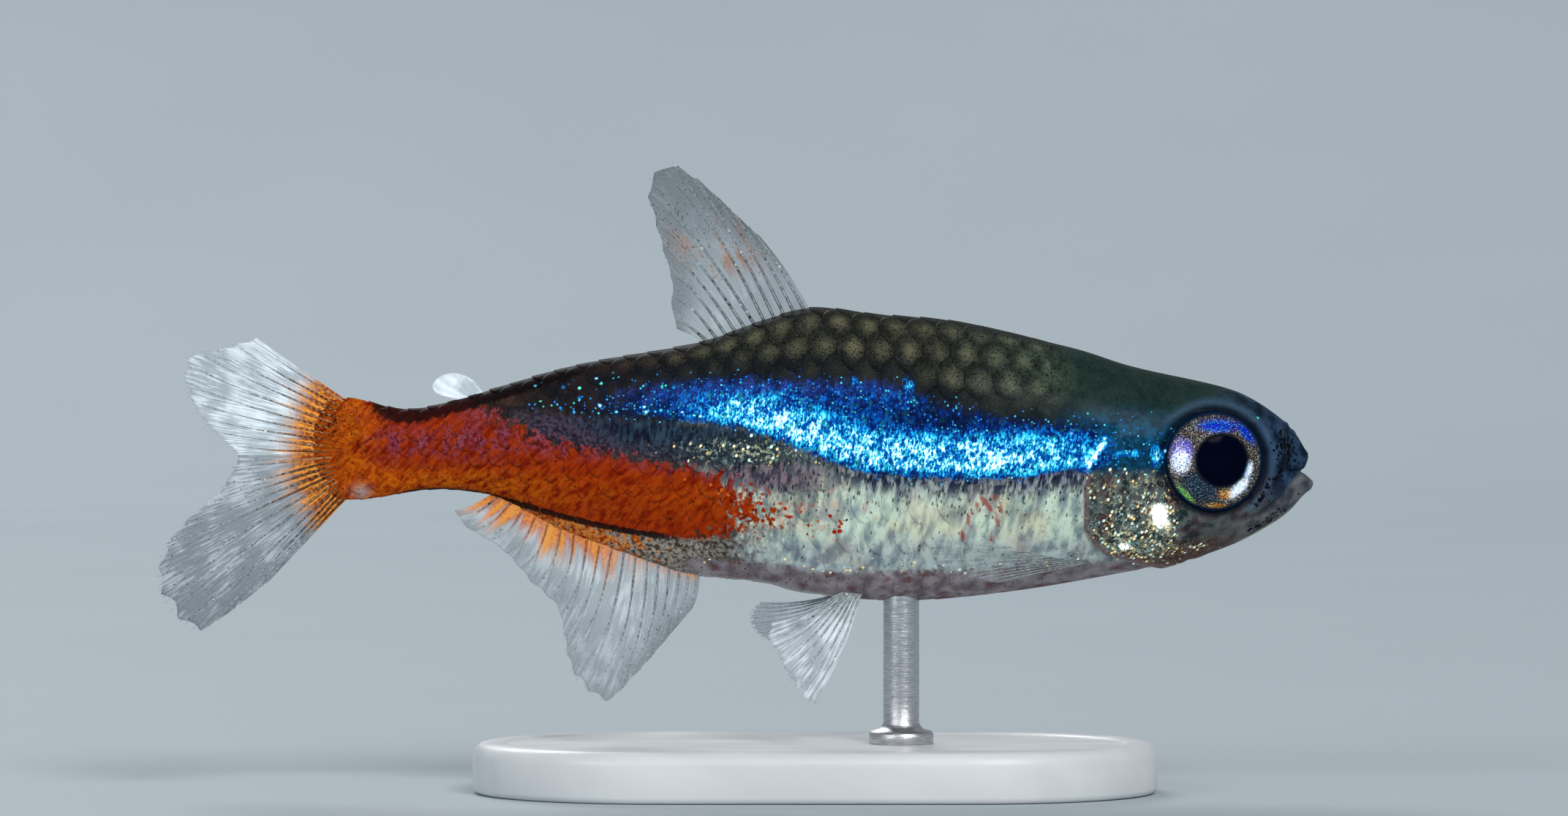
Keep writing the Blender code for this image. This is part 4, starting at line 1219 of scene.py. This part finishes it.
class Fin:
    """The sheet of a fin: its rays run from the base line to the tip line, bowed in the sheet. Crowd gathers
    their roots at the front, and sway sets the sheet aside."""

    def __init__(self, base, tips, rays, bow=0.0, crowd=1.0, sway=None):
        self.base, self.tips = line_through(base), line_through(tips)
        self.rays, self.bow, self.crowd = rays, bow, crowd
        self.sway = sway or (lambda x, z: 0.0 * x)

    def ends(self, share):
        root_x, root_z = self.base(np.clip(share, 0, 1) ** self.crowd)
        tip_x, tip_z = self.tips(share)
        return root_x, root_z, tip_x - root_x, tip_z - root_z

    def length(self, share):
        _, _, ray_x, ray_z = self.ends(share)
        return np.hypot(ray_x, ray_z)

    def at(self, share, t):
        """The place at this share of the way across the fin and this share of the way out along its rays."""
        root_x, root_z, ray_x, ray_z = self.ends(share)
        arch = self.bow * np.sin(math.pi * np.maximum(t, 0))
        x = root_x + ray_x * t + arch * np.abs(ray_z)
        z = root_z + ray_z * t - arch * ray_x * np.where(ray_z > 0, 1, -1)
        return np.stack(np.broadcast_arrays(x, self.sway(x, z), z), -1)

    def normal(self, share, t):
        across = self.at(share + 0.01, t) - self.at(share - 0.01, t)
        out = self.at(share, t + 0.01) - self.at(share, t - 0.01)
        normal = np.cross(across, out)
        return normal / np.maximum(np.linalg.norm(normal, axis=-1, keepdims=True), 1e-9)


def tube(path, aside, radius):
    """A closed tube along a path that lies in a sheet whose normal is aside."""
    along = np.gradient(path, axis=0)
    along /= np.linalg.norm(along, axis=1, keepdims=True)
    flat = np.cross(along, aside)
    flat /= np.linalg.norm(flat, axis=1, keepdims=True)
    turns, radius = spokes(RAY_SIDES)[None, :, None], radius[:, None, None]
    ring = path[:, None] + flat[:, None] * np.cos(turns) * radius + aside[:, None] * np.sin(turns) * radius
    return np.concatenate([ring.reshape(-1, 3), path[[0, -1]]]), *ring_faces(len(path), RAY_SIDES)


def join(parts):
    """Several (points, quads, triangles, values) as one, each row of values going with its point."""
    firsts = np.cumsum([0] + [len(part[0]) for part in parts])
    points, quads, triangles, values = zip(*parts)
    quads, triangles = ([faces + first for faces, first in zip(kind, firsts)] for kind in (quads, triangles))
    return (np.concatenate(column) for column in (points, quads, triangles, values))


def ray_parts(fin, random, width, twigs, lead):
    """The rays of a fin as fine tubes. Beyond BRANCH_AT each splits in two, and again further out where twigs
    is 4. The first lead rays, and any under 1 mm, don't branch."""

    def per_point(values):
        return np.concatenate([np.repeat(values, RAY_SIDES), values[[0, -1]]])

    edge = np.concatenate([np.tile(np.abs(np.cos(spokes(RAY_SIDES))), RAY_RINGS), [0.5, 0.5]])
    parts = []
    for ray in range(fin.rays):
        share = (ray + 0.5) / fin.rays
        length = float(fin.length(share))
        plain = ray < lead or length < 1.0
        split = BRANCH_AT + random.uniform(-0.05, 0.05)
        for twig in range(1 if plain else twigs):
            t = np.linspace(-FIN_ROOT / length, 1.0 - 0.01 * random.random(), RAY_RINGS)
            spread, taper = 0 * t, 1.0 - 0.72 * np.clip(t, 0, 1)
            if not plain:
                side = (twig / (twigs - 1) - 0.5) * 2
                taper *= 1.0 - 0.35 * step(split, split + 0.2, t)
                if twigs == 4:
                    half = 0.5 * np.sign(side)
                    spread = half * step(split, 1.1, t) ** 0.8 + (side - half) * step(split + 0.3, 1.15, t)
                else:
                    spread = side * 0.62 * step(split, 1.15, t) ** 0.8
            across = np.clip(share + 0.46 * spread / fin.rays, 0, 1)
            aside = fin.normal(np.clip(across, 0.02, 0.98), np.clip(t, 0.02, 0.97))
            out = per_point(t * length)
            chance = np.full(len(out), random.random())
            values = np.stack([out, per_point(across), out / length, chance, edge], -1)
            parts.append((*tube(fin.at(across, t), aside, width * taper), values))
    return parts


def web_part(fin, random, thickness, notch=0.03):
    """The clear web between the rays: a closed thin sheet, puckered between rays, with a ragged hind edge."""
    columns = fin.rays * WEB_COLUMNS + 1
    share = np.linspace(0.0, 1.0, columns)[None, :]
    length = fin.length(share)
    between = np.abs(np.sin(math.pi * share * fin.rays))
    ragged = np.interp(share * fin.rays * 1.7, np.arange(40), random.uniform(0, 1, 40))
    end = 1 - notch * between - notch * 0.8 * ragged
    start = -FIN_ROOT * 0.8 / length
    t = start + (end - start) * np.linspace(0, 1, WEB_ROWS)[:, None]
    place = fin.at(share + 0 * t, t)
    normal = fin.normal(np.clip(share, 0.02, 0.98) + 0 * t, np.clip(t, 0.02, 0.97))
    pucker = 0.018 * np.sin(2 * math.pi * share * fin.rays) * np.clip(t, 0, 1)
    place = place + normal * pucker[..., None]
    half = normal * (thickness / 2)
    points = np.concatenate([(place + half).reshape(-1, 3), (place - half).reshape(-1, 3)])
    values = np.stack(np.broadcast_arrays(t * length, share, t, 0 * t, 0 * t), -1)
    values = values.reshape(-1, len(FIN_VALUES))
    return points, sheet_faces(WEB_ROWS, columns), np.zeros((0, 3), int), np.concatenate([values, values])


def fin_object(name, parts):
    """One mesh of a fin's parts. Each point carries how far out it is in mm, its share across, its share of
    the way out, a random number of its ray and how near it is to its ray's edge."""
    points, quads, triangles, values = join(parts)
    obj = mesh_object(name, points, quads, triangles)
    for key, column in zip(FIN_VALUES, values.T):
        set_attribute(obj, key, column)
    return obj


def tail_curl(x, z):
    """The tail fin's lobes curl away from each other towards their tips."""
    behind = np.maximum(0.0, TAIL_ROOT_X + 0.3 - x)
    lobe = np.clip((z - FORK_Z) / 1.6, -1.0, 1.0)
    return np.where(lobe > 0, 0.085, 0.03) * lobe * behind**2


def flank_y(x, z):
    """Half the body's thickness at this place of its side view."""
    top, bottom = back_z(x), belly_z(x)
    middle = bottom + WIDEST_AT * (top - bottom)
    rise = (z - middle) / np.where(z > middle, top - middle, middle - bottom)
    return half_width(x) * np.sqrt(np.maximum(0.0, 1 - rise * rise)) ** np.where(z > middle, 1.0, keel(x))


class FinGraph(Graph):
    """A fin's material: it knows where each place is along the rays, and has streaks that run along them."""

    def __init__(self, name, look, **settings):
        super().__init__(name, **settings)
        self.look = look
        self.out_by, self.across, self.reach = (self.attribute(key) for key in ("out", "across", "reach"))
        self.along_rays = self.combine(self.across * (1.4 * look["rays"]), self.out_by * 0.45)
        self.streaks = self.noise(1.0, 2.0, self.along_rays)
        self.fine = self.noise(11.0, 2.0)

    def pigment(self, stretch=0.0):
        """Where the pigment lies: in streaks between two distances out and two shares of the way across."""
        near, far = self.look["reach"]
        first, last = self.look["span"]
        wavy = self.out_by + (self.streaks - 0.5) * -2.2
        share = self.rise(self.across, first - 0.15, first + 0.12)
        share = share * self.rise(self.across, last + 0.15, last - 0.12)
        share = share * self.rise(wavy, far + stretch, far - 0.9) * self.rise(wavy, near - 0.4, near + 0.6)
        share = share * self.rise(self.streaks + self.fine * 0.3, *self.look["patchy"])
        flesh = self.out_by + (self.streaks + self.fine) * -0.9
        flesh = self.rise(flesh, self.look["flesh"], self.look["flesh"] - 0.7)
        return self.most(share * self.look["strong"], flesh)


def ray_material(name, look):
    """Glassy, jointed fin rays with dark edges, pigment and black dots."""
    g = FinGraph(name, look, Coat_Weight=0.2, Coat_Roughness=0.15, Specular_IOR_Level=0.3, IOR=1.4)
    joint_wave = g.math("FRACT", g.out_by * 6.0 + g.attribute("chance") * 7.0)
    joint = g.rise(abs(joint_wave - 0.5), 0.34, 0.5) * g.rise(g.out_by, 0.8, 1.4)
    colour = g.between(g.fine, (150, 166, 172), (216, 228, 232), 0.35, 0.65)
    colour = g.mix(joint * 0.7, colour, (92, 102, 112))
    ink = g.pigment(0.6)
    colour = g.mix(ink * 0.9, colour, g.mix(g.fine, look["tint"], look["glow"]))
    edges = g.rise(g.attribute("edge"), 0.35, 0.75) * look["dark"]
    edges = edges * g.rise(g.reach + g.fine * 0.8, 1.45, 0.55)
    colour = g.mix(edges, colour, (34, 44, 46))
    dot, pick, *_ = g.cells(7.0)
    dots = g.rise(dot, 0.42, 0.24) * g.rise(pick + look["dots"], 0.98, 1.04)
    colour = g.mix(dots * 0.85, colour, (22, 28, 32))
    # Painted glints: white sparks on the rays.
    spark, spark_pick, *_ = g.cells(6.5)
    sparks = g.rise(spark, 0.32, 0.18) * g.rise(spark_pick, 0.84, 0.90)
    colour = g.mix(sparks, colour, (250, 252, 255))
    g.shade("Base Color", colour)
    g.shade("Roughness", 0.32 + g.fine * 0.15)
    g.shade("Normal", g.bumped(joint + g.fine, 0.008))
    solid = g.most(ink, dots, edges, sparks)
    g.shade("Alpha", 0.55 + solid * 0.43)
    return g.material


def web_material(name, look):
    """Fin web between the rays: clear to milky, streaked along the rays, with a wash of the pigment."""
    g = FinGraph(name, look, Coat_Weight=0.1, Coat_Roughness=0.2, Specular_IOR_Level=0.25, IOR=1.35)
    ink = g.pigment()
    grain = g.noise(20.0, 2.0)
    wisps = g.noise(3.0, 3.0, g.along_rays)
    milk = g.rise(wisps + (g.noise(1.2, 2.0) - 0.5) * 0.8, 0.34, 0.72)
    colour = g.mix(milk * 0.8 + look["painted_light"], (116, 132, 142), (226, 236, 242))
    colour = g.mix(g.rise(grain, 0.55, 0.66) * 0.25, colour, (236, 240, 250))
    shade = g.rise(g.across + g.fine * 0.2, *look["shaded"]) * 0.75
    colour = g.mix(shade, colour, g.mix(milk, (88, 94, 104), (150, 160, 170)))
    smoke = g.rise(g.reach + (wisps - 0.5) * 0.6, 0.25, 0.85) * look["dots"]
    colour = g.mix(smoke * 1.7, colour, (84, 94, 98))
    hue = g.rise(g.streaks + (g.fine - 0.5) * 0.7, 0.30, 0.66)
    colour = g.mix(ink, colour, g.mix(hue, look["tint"], look["glow"]))
    dot, pick, size, _ = g.cells(15.0)
    thick = g.rise(g.reach, 0.20, 0.70) * (0.2 + shade * 1.7) * look["dots"]
    dots = g.rise(dot + size * 0.2, 0.56, 0.30) * g.rise(pick + thick, 0.99, 1.05)
    colour = g.mix(dots, colour, (36, 44, 50))
    g.shade("Base Color", colour)
    g.shade("Roughness", 0.4)
    # Painted glow: the web gives off its own colour, more the more painted light its look has.
    g.shade("Emission Color", colour)
    g.shade("Emission Strength", 0.4 * look["painted_light"])
    haze = (0.45 + milk * 0.75) * look["milk"] + shade * look["milk"] * 0.4 + smoke * 0.8
    g.shade("Alpha", g.math("MAXIMUM", haze, g.most(ink * 0.96, dots * 0.6), True))
    g.shade("Normal", g.bumped(g.fine + wisps, 0.012))
    return g.material


# ---------------------------------------------------------------------------------------------------------
# Stand


def build_rod():
    """The stand's turned rod, with a collar where it enters the base."""
    turns = spokes(ROD_SPOKES)
    rings = [[ROD_X + radius * np.cos(turns), radius * np.sin(turns), height + 0 * turns]
             for radius, height in ROD_PROFILE]
    middles = [[ROD_X, 0, ROD_PROFILE[0][1]], [ROD_X, 0, ROD_PROFILE[-1][1]]]
    points = np.concatenate([np.moveaxis(rings, 1, 2).reshape(-1, 3), middles])
    return mesh_object("stand_rod_finish", points, *ring_faces(len(ROD_PROFILE), ROD_SPOKES))


def build_base():
    """The stand's flat base, with rounded ends, a soft edge all round and a shallow step in its top."""
    corner = np.radians(np.linspace(0, 90, 25))
    straight_x, straight_y = BASE_HALF_LENGTH - BASE_CORNER, BASE_HALF_WIDTH - BASE_CORNER
    rings = []
    for inset, height in BASE_PROFILE:
        radius = max(BASE_CORNER - inset, 0.02)
        x_reach = straight_x - max(0.0, inset - BASE_CORNER + 0.02)
        quarter = np.stack([x_reach + radius * np.cos(corner), straight_y + radius * np.sin(corner)], -1)
        hind = quarter[::-1] * [-1, 1]
        outline = np.concatenate([quarter, hind, quarter * [-1, -1], hind * [-1, -1]]) + [STAND_X, 0]
        rings.append(np.insert(outline, 2, height, axis=1))
    middles = [[STAND_X, 0, BASE_PROFILE[0][1]], [STAND_X, 0, BASE_PROFILE[-1][1]]]
    points = np.concatenate([*rings, middles])
    return mesh_object("stand_base_finish", points, *ring_faces(len(rings), len(rings[0])))


def plastic_material():
    """Satin moulded plastic, very slightly orange-peeled, with faint scuffs."""
    g = Graph("satin_plastic", Coat_Weight=0.15, Coat_Roughness=0.3, IOR=1.46)
    grain, scuff = g.noise(3.0, 4.0), g.noise(0.5, 3.0, g.stretched((0.3, 2.0, 1.0), 0.4))
    g.shade("Base Color", g.between(scuff, (212, 214, 217), (220, 222, 224), 0.35, 0.7))
    g.shade("Roughness", 0.34 + g.rise(scuff, 0.45, 0.7) * 0.14)
    g.shade("Normal", g.bumped(grain, 0.006))
    return g.material


def steel_material():
    """Fine brushed steel, its lines running round the rod."""
    g = Graph("brushed_steel", Metallic=1.0, Anisotropic=0.4)
    lines = g.noise(5.0, 4.0, g.stretched((0.6, 0.6, 14.0)))
    g.shade("Base Color", g.between(lines, (168, 170, 174), (214, 215, 217), 0.3, 0.7))
    g.shade("Roughness", 0.24 + lines * 0.18)
    g.shade("Normal", g.bumped(lines, 0.006))
    return g.material


# ---------------------------------------------------------------------------------------------------------
# Camera, floor and lights


def place_camera():
    """The photograph's view: level, square on to the fish's right side, framed as the photograph is."""
    distance = IMAGE_WIDTH * MM_PER_PIXEL * LENS / SENSOR
    data = bpy.data.cameras.new("camera")
    data.lens, data.sensor_width, data.sensor_fit = LENS, SENSOR, "HORIZONTAL"
    data.clip_start, data.clip_end = 0.005, 5.0
    camera = bpy.data.objects.new("camera", data)
    x, z = (IMAGE_WIDTH / 2 - ORIGIN_PX) * MM_PER_PIXEL, (ORIGIN_PY - IMAGE_HEIGHT / 2) * MM_PER_PIXEL
    camera.location = Vector((x, -distance, z)) * MM
    camera.rotation_euler = (math.pi / 2, 0.0, 0.0)
    bpy.context.scene.collection.objects.link(camera)
    bpy.context.scene.camera = camera


def add_light(name, place, power, size, colour=(1.0, 1.0, 1.0)):
    """A round area light, in metres, that faces the fish."""
    data = bpy.data.lights.new(name, "AREA")
    data.shape, data.size, data.energy, data.color = "DISK", size, power, colour
    light = bpy.data.objects.new(name, data)
    light.location = place
    aim = Vector((0.0, 0.0, 0.009)) - light.location
    light.rotation_euler = aim.to_track_quat("-Z", "Y").to_euler()
    bpy.context.scene.collection.objects.link(light)


def build_floor():
    """A wide pale floor that sweeps up all round, so that no horizon shows from any side."""
    sweep, turns = np.radians(np.arange(4, 73, 4)), spokes(FLOOR_SPOKES)
    flat = [0.001, 60, 160, 320, FLOOR_FLAT]
    radii = np.concatenate([flat, FLOOR_FLAT + FLOOR_SWEEP * np.sin(sweep)])[:, None]
    heights = np.concatenate([0 * np.array(flat), FLOOR_SWEEP - FLOOR_SWEEP * np.cos(sweep)])[:, None]
    points = np.stack([radii * np.cos(turns), radii * np.sin(turns), heights + 0 * turns], -1).reshape(-1, 3)
    floor = mesh_object("floor", points, grid_quads(len(radii), FLOOR_SPOKES, closed=True))
    g = Graph("pale_floor", Roughness=0.7)
    g.shade("Base Color", g.mix(g.noise(0.02, 2.0), FLOOR_DARK, FLOOR_PALE))
    floor.data.materials.append(g.material)


def light_scene():
    """A warm key light, a fill and a rim light, and a soft blue ambient light."""
    add_light("key", (0.45, -1.10, 0.85), 12.0, 0.60, (1.0, 0.985, 0.96))
    add_light("fill", (-0.90, -1.00, 0.50), 6.0, 0.70, (0.95, 0.98, 1.0))
    add_light("rim", (-0.40, 1.10, 0.90), 6.5, 0.70, (0.95, 0.98, 1.0))
    world = bpy.data.worlds.new("ambient")
    world.use_nodes = True
    world.node_tree.nodes["Background"].inputs["Color"].default_value = (0.82, 0.88, 0.93, 1.0)
    world.node_tree.nodes["Background"].inputs["Strength"].default_value = 0.36
    bpy.context.scene.world = world
    bpy.context.scene.view_settings.view_transform = "Standard"


# ---------------------------------------------------------------------------------------------------------
# The scene


def paint(obj, points, material, *nodes):
    """Gives a piece of flesh its markings."""
    for key, share in markings(points).items():
        set_attribute(obj, key, share)
    return add_piece(obj, "fish_skin", material, *nodes)


FLESH_NODES = ("head", "lower_jaw", "trunk", "tail_stem", "gill_cover_left", "gill_cover_right")


def make_body():
    """The skin, in the place of the nodes of flesh, and the scales over it."""
    random = np.random.default_rng(SEED)
    skin, points = build_skin()
    paint(skin, points, flesh_material("fish_skin_bare", False), *FLESH_NODES)
    scaled = flesh_material("fish_skin_scaled", True)
    for side, word in SIDES:
        scales, points = build_scales("scales_" + word, side, random)
        paint(scales, points, scaled)


def make_eyes():
    """The two eyeballs, each in the place of its CAD node."""
    material = eye_material()
    for side, word in SIDES:
        add_piece(build_eye("eyeball_" + word, side), "eye", material, "eye_" + word)


PECTORAL_X, PECTORAL_Z, PELVIC_Z = 9.3, 6.5, 5.45
ORANGE, RUST, TAN = (206, 84, 14), (132, 38, 4), (150, 96, 56)
GOLD, GINGER = (236, 156, 62), (196, 120, 44)


def pelvic_sway(spread):
    """A pelvic fin stands away from the belly, more the further it hangs."""
    return lambda x, z: math.copysign(0.5, spread) + spread * (PELVIC_Z - z)


def pectoral_sway(side):
    """A pectoral fin lies back along the flank, its tip a little away from it."""
    root_y = float(flank_y(PECTORAL_X, PECTORAL_Z)) - 0.1
    return lambda x, z: side * (root_y + 0.22 * (PECTORAL_X - x))


PECTORAL_BASE = [(9.25, 6.75), (9.35, 6.30)]
PECTORAL_TIPS = [(5.10, 7.15), (5.15, 6.75), (5.60, 6.30), (6.40, 6.00), (7.20, 5.85)]
FINS = {
    "dorsal_fin": Fin(
        [(2.05, 13.42), (-1.0, 12.55)],
        [(0.64, 15.49), (-1.76, 17.52), (-2.45, 16.95), (-2.25, 15.80), (-1.80, 14.20), (-1.80, 13.50),
         (-1.65, 12.88)],
        11, bow=0.03,
    ),
    "anal_fin": Fin(
        [(-1.0, 6.02), (-2.93, 6.60), (-4.96, 7.35), (-6.9, 8.22)],
        [(-1.21, 5.08), (-3.44, 2.54), (-3.85, 2.50), (-4.62, 3.39), (-4.96, 5.05), (-5.82, 5.95),
         (-6.53, 6.76), (-7.50, 7.35), (-7.85, 7.82)],
        18, bow=0.06, crowd=1.2,
    ),
    "tail_fin_upper": Fin(
        [(-10.9, 10.95), (-11.25, 10.25), (-11.35, FORK_Z)],
        [(-13.40, 12.64), (-14.61, 12.34), (-15.46, 12.12), (-15.48, 11.20), (-14.95, 10.37),
         (-13.84, FORK_Z)],
        10, sway=tail_curl,
    ),
    "tail_fin_lower": Fin(
        [(-11.35, FORK_Z), (-11.25, 8.75), (-10.9, 8.05)],
        [(-13.84, FORK_Z), (-14.34, 8.42), (-15.15, 7.65), (-15.90, 6.70), (-15.95, 5.54), (-15.00, 4.47),
         (-14.30, 4.81), (-12.98, 5.85)],
        11, sway=tail_curl,
    ),
    "pelvic_fin_right": Fin(
        [(3.46, 5.40), (2.70, 5.45)],
        [(2.16, 2.46), (1.83, 2.68), (1.42, 3.29), (1.18, 3.84), (0.87, 4.25), (0.95, 4.70)],
        8, bow=0.04, sway=pelvic_sway(-0.36),
    ),
    "pelvic_fin_left": Fin(
        [(3.46, 5.40), (2.70, 5.45)],
        [(0.85, 4.12), (0.50, 4.40), (0.37, 4.72), (0.42, 5.02), (0.65, 5.25)],
        8, bow=0.04, sway=pelvic_sway(1.3),
    ),
    "pectoral_fin_left": Fin(PECTORAL_BASE, PECTORAL_TIPS, 10, sway=pectoral_sway(1)),
    "pectoral_fin_right": Fin(PECTORAL_BASE, PECTORAL_TIPS, 10, sway=pectoral_sway(-1)),
}
# Each kind of fin's look. The pigment's two colours, how far out along the rays it runs from and to in mm,
# between which shares of the way across, how patchily and how strongly; how far out the flesh's own colour
# reaches; where the web is shaded; how dark the rays' edges are, how many black dots there are, how milky the
# web is and how much painted glow lightens it; the rays' half width; and how many streaks there are across.
CLEAR = dict(tint=TAN, glow=GINGER, reach=(-1.5, -1.0), span=(0.0, 1.0), patchy=(0.5, 0.6), strong=0.0,
             flesh=-2.0, shaded=(2.0, 3.0))
TAIL = CLEAR | dict(tint=RUST, glow=GOLD, patchy=(0.34, 0.52), strong=0.85, flesh=0.55)
FIN_LOOKS = {
    "dorsal": CLEAR | dict(reach=(1.2, 3.3), span=(0.12, 0.62), patchy=(0.67, 0.74), strong=0.62,
                           shaded=(1.0, 0.2), dark=1.0, dots=0.36, milk=0.28, painted_light=0.0, width=0.044,
                           rays=11),
    "anal": dict(tint=ORANGE, glow=GOLD, reach=(-1.2, 1.0), span=(0.42, 1.1), patchy=(0.42, 0.60),
                 strong=0.95, flesh=-0.5, shaded=(0.55, 0.1), dark=0.66, dots=0.22, milk=0.38, painted_light=0.14,
                 width=0.034, rays=18),
    "tail_up": TAIL | dict(reach=(-1.5, 1.5), span=(-0.3, 1.3), dark=0.50, dots=0.04, milk=0.90, painted_light=0.46,
                           width=0.038, rays=20),
    "tail_low": TAIL | dict(reach=(-1.5, 1.7), span=(-0.3, 0.5), shaded=(-1.0, 1.4), dark=0.80, dots=0.08,
                            milk=0.66, painted_light=0.20, width=0.040, rays=22),
    "pelvic": CLEAR | dict(dark=0.70, dots=0.10, milk=0.60, painted_light=0.30, width=0.034, rays=8),
    "pectoral": CLEAR | dict(dark=0.80, dots=0.02, milk=0.10, painted_light=0.0, width=0.018, rays=10),
    "adipose": CLEAR | dict(dark=0.0, dots=0.0, milk=1.60, painted_light=0.55, width=0.0, rays=0.5),
}
LOOK_OF = {"tail_fin_upper": "tail_up", "tail_fin_lower": "tail_low"}
ADIPOSE = Fin(
    [(-7.05, 11.15), (-7.8, 10.92)],
    [(-7.25, 11.42), (-7.60, 11.60), (-7.95, 11.64), (-8.28, 11.50), (-8.43, 11.25), (-8.25, 11.02)], 5,
)


def make_fins():
    """Every fin as clear web and jointed rays, in the place of its CAD node."""
    random = np.random.default_rng(SEED + 1)
    webs = {kind: web_material(kind + "_web", look) for kind, look in FIN_LOOKS.items()}
    bones = {kind: ray_material(kind + "_rays", look) for kind, look in FIN_LOOKS.items() if look["width"]}
    for node, fin in FINS.items():
        kind = LOOK_OF.get(node) or node.split("_")[0]
        lead = 2 if kind in ("dorsal", "anal") else 1
        twigs = 4 if node in LOOK_OF else 2
        rays = ray_parts(fin, random, FIN_LOOKS[kind]["width"], twigs, lead)
        add_piece(fin_object(node + "_rays", rays), "clear_fin", bones[kind], node)
        web = web_part(fin, random, WEB_THICKNESS)
        add_piece(fin_object(node + "_web", [web]), "clear_fin", webs[kind], node)
    flap = fin_object("adipose_fin_flap", [web_part(ADIPOSE, random, FLAP_THICKNESS, 0.0)])
    add_piece(flap, "clear_fin", webs["adipose"], "adipose_fin")


def make_stand():
    """The stand's finished base and rod."""
    add_piece(build_base(), "stand_plastic", plastic_material(), "stand_base")
    add_piece(build_rod(), "stand_steel", steel_material(), "stand_rod")


place_camera()
make_body()
make_eyes()
make_fins()
make_stand()
build_floor()
light_scene()
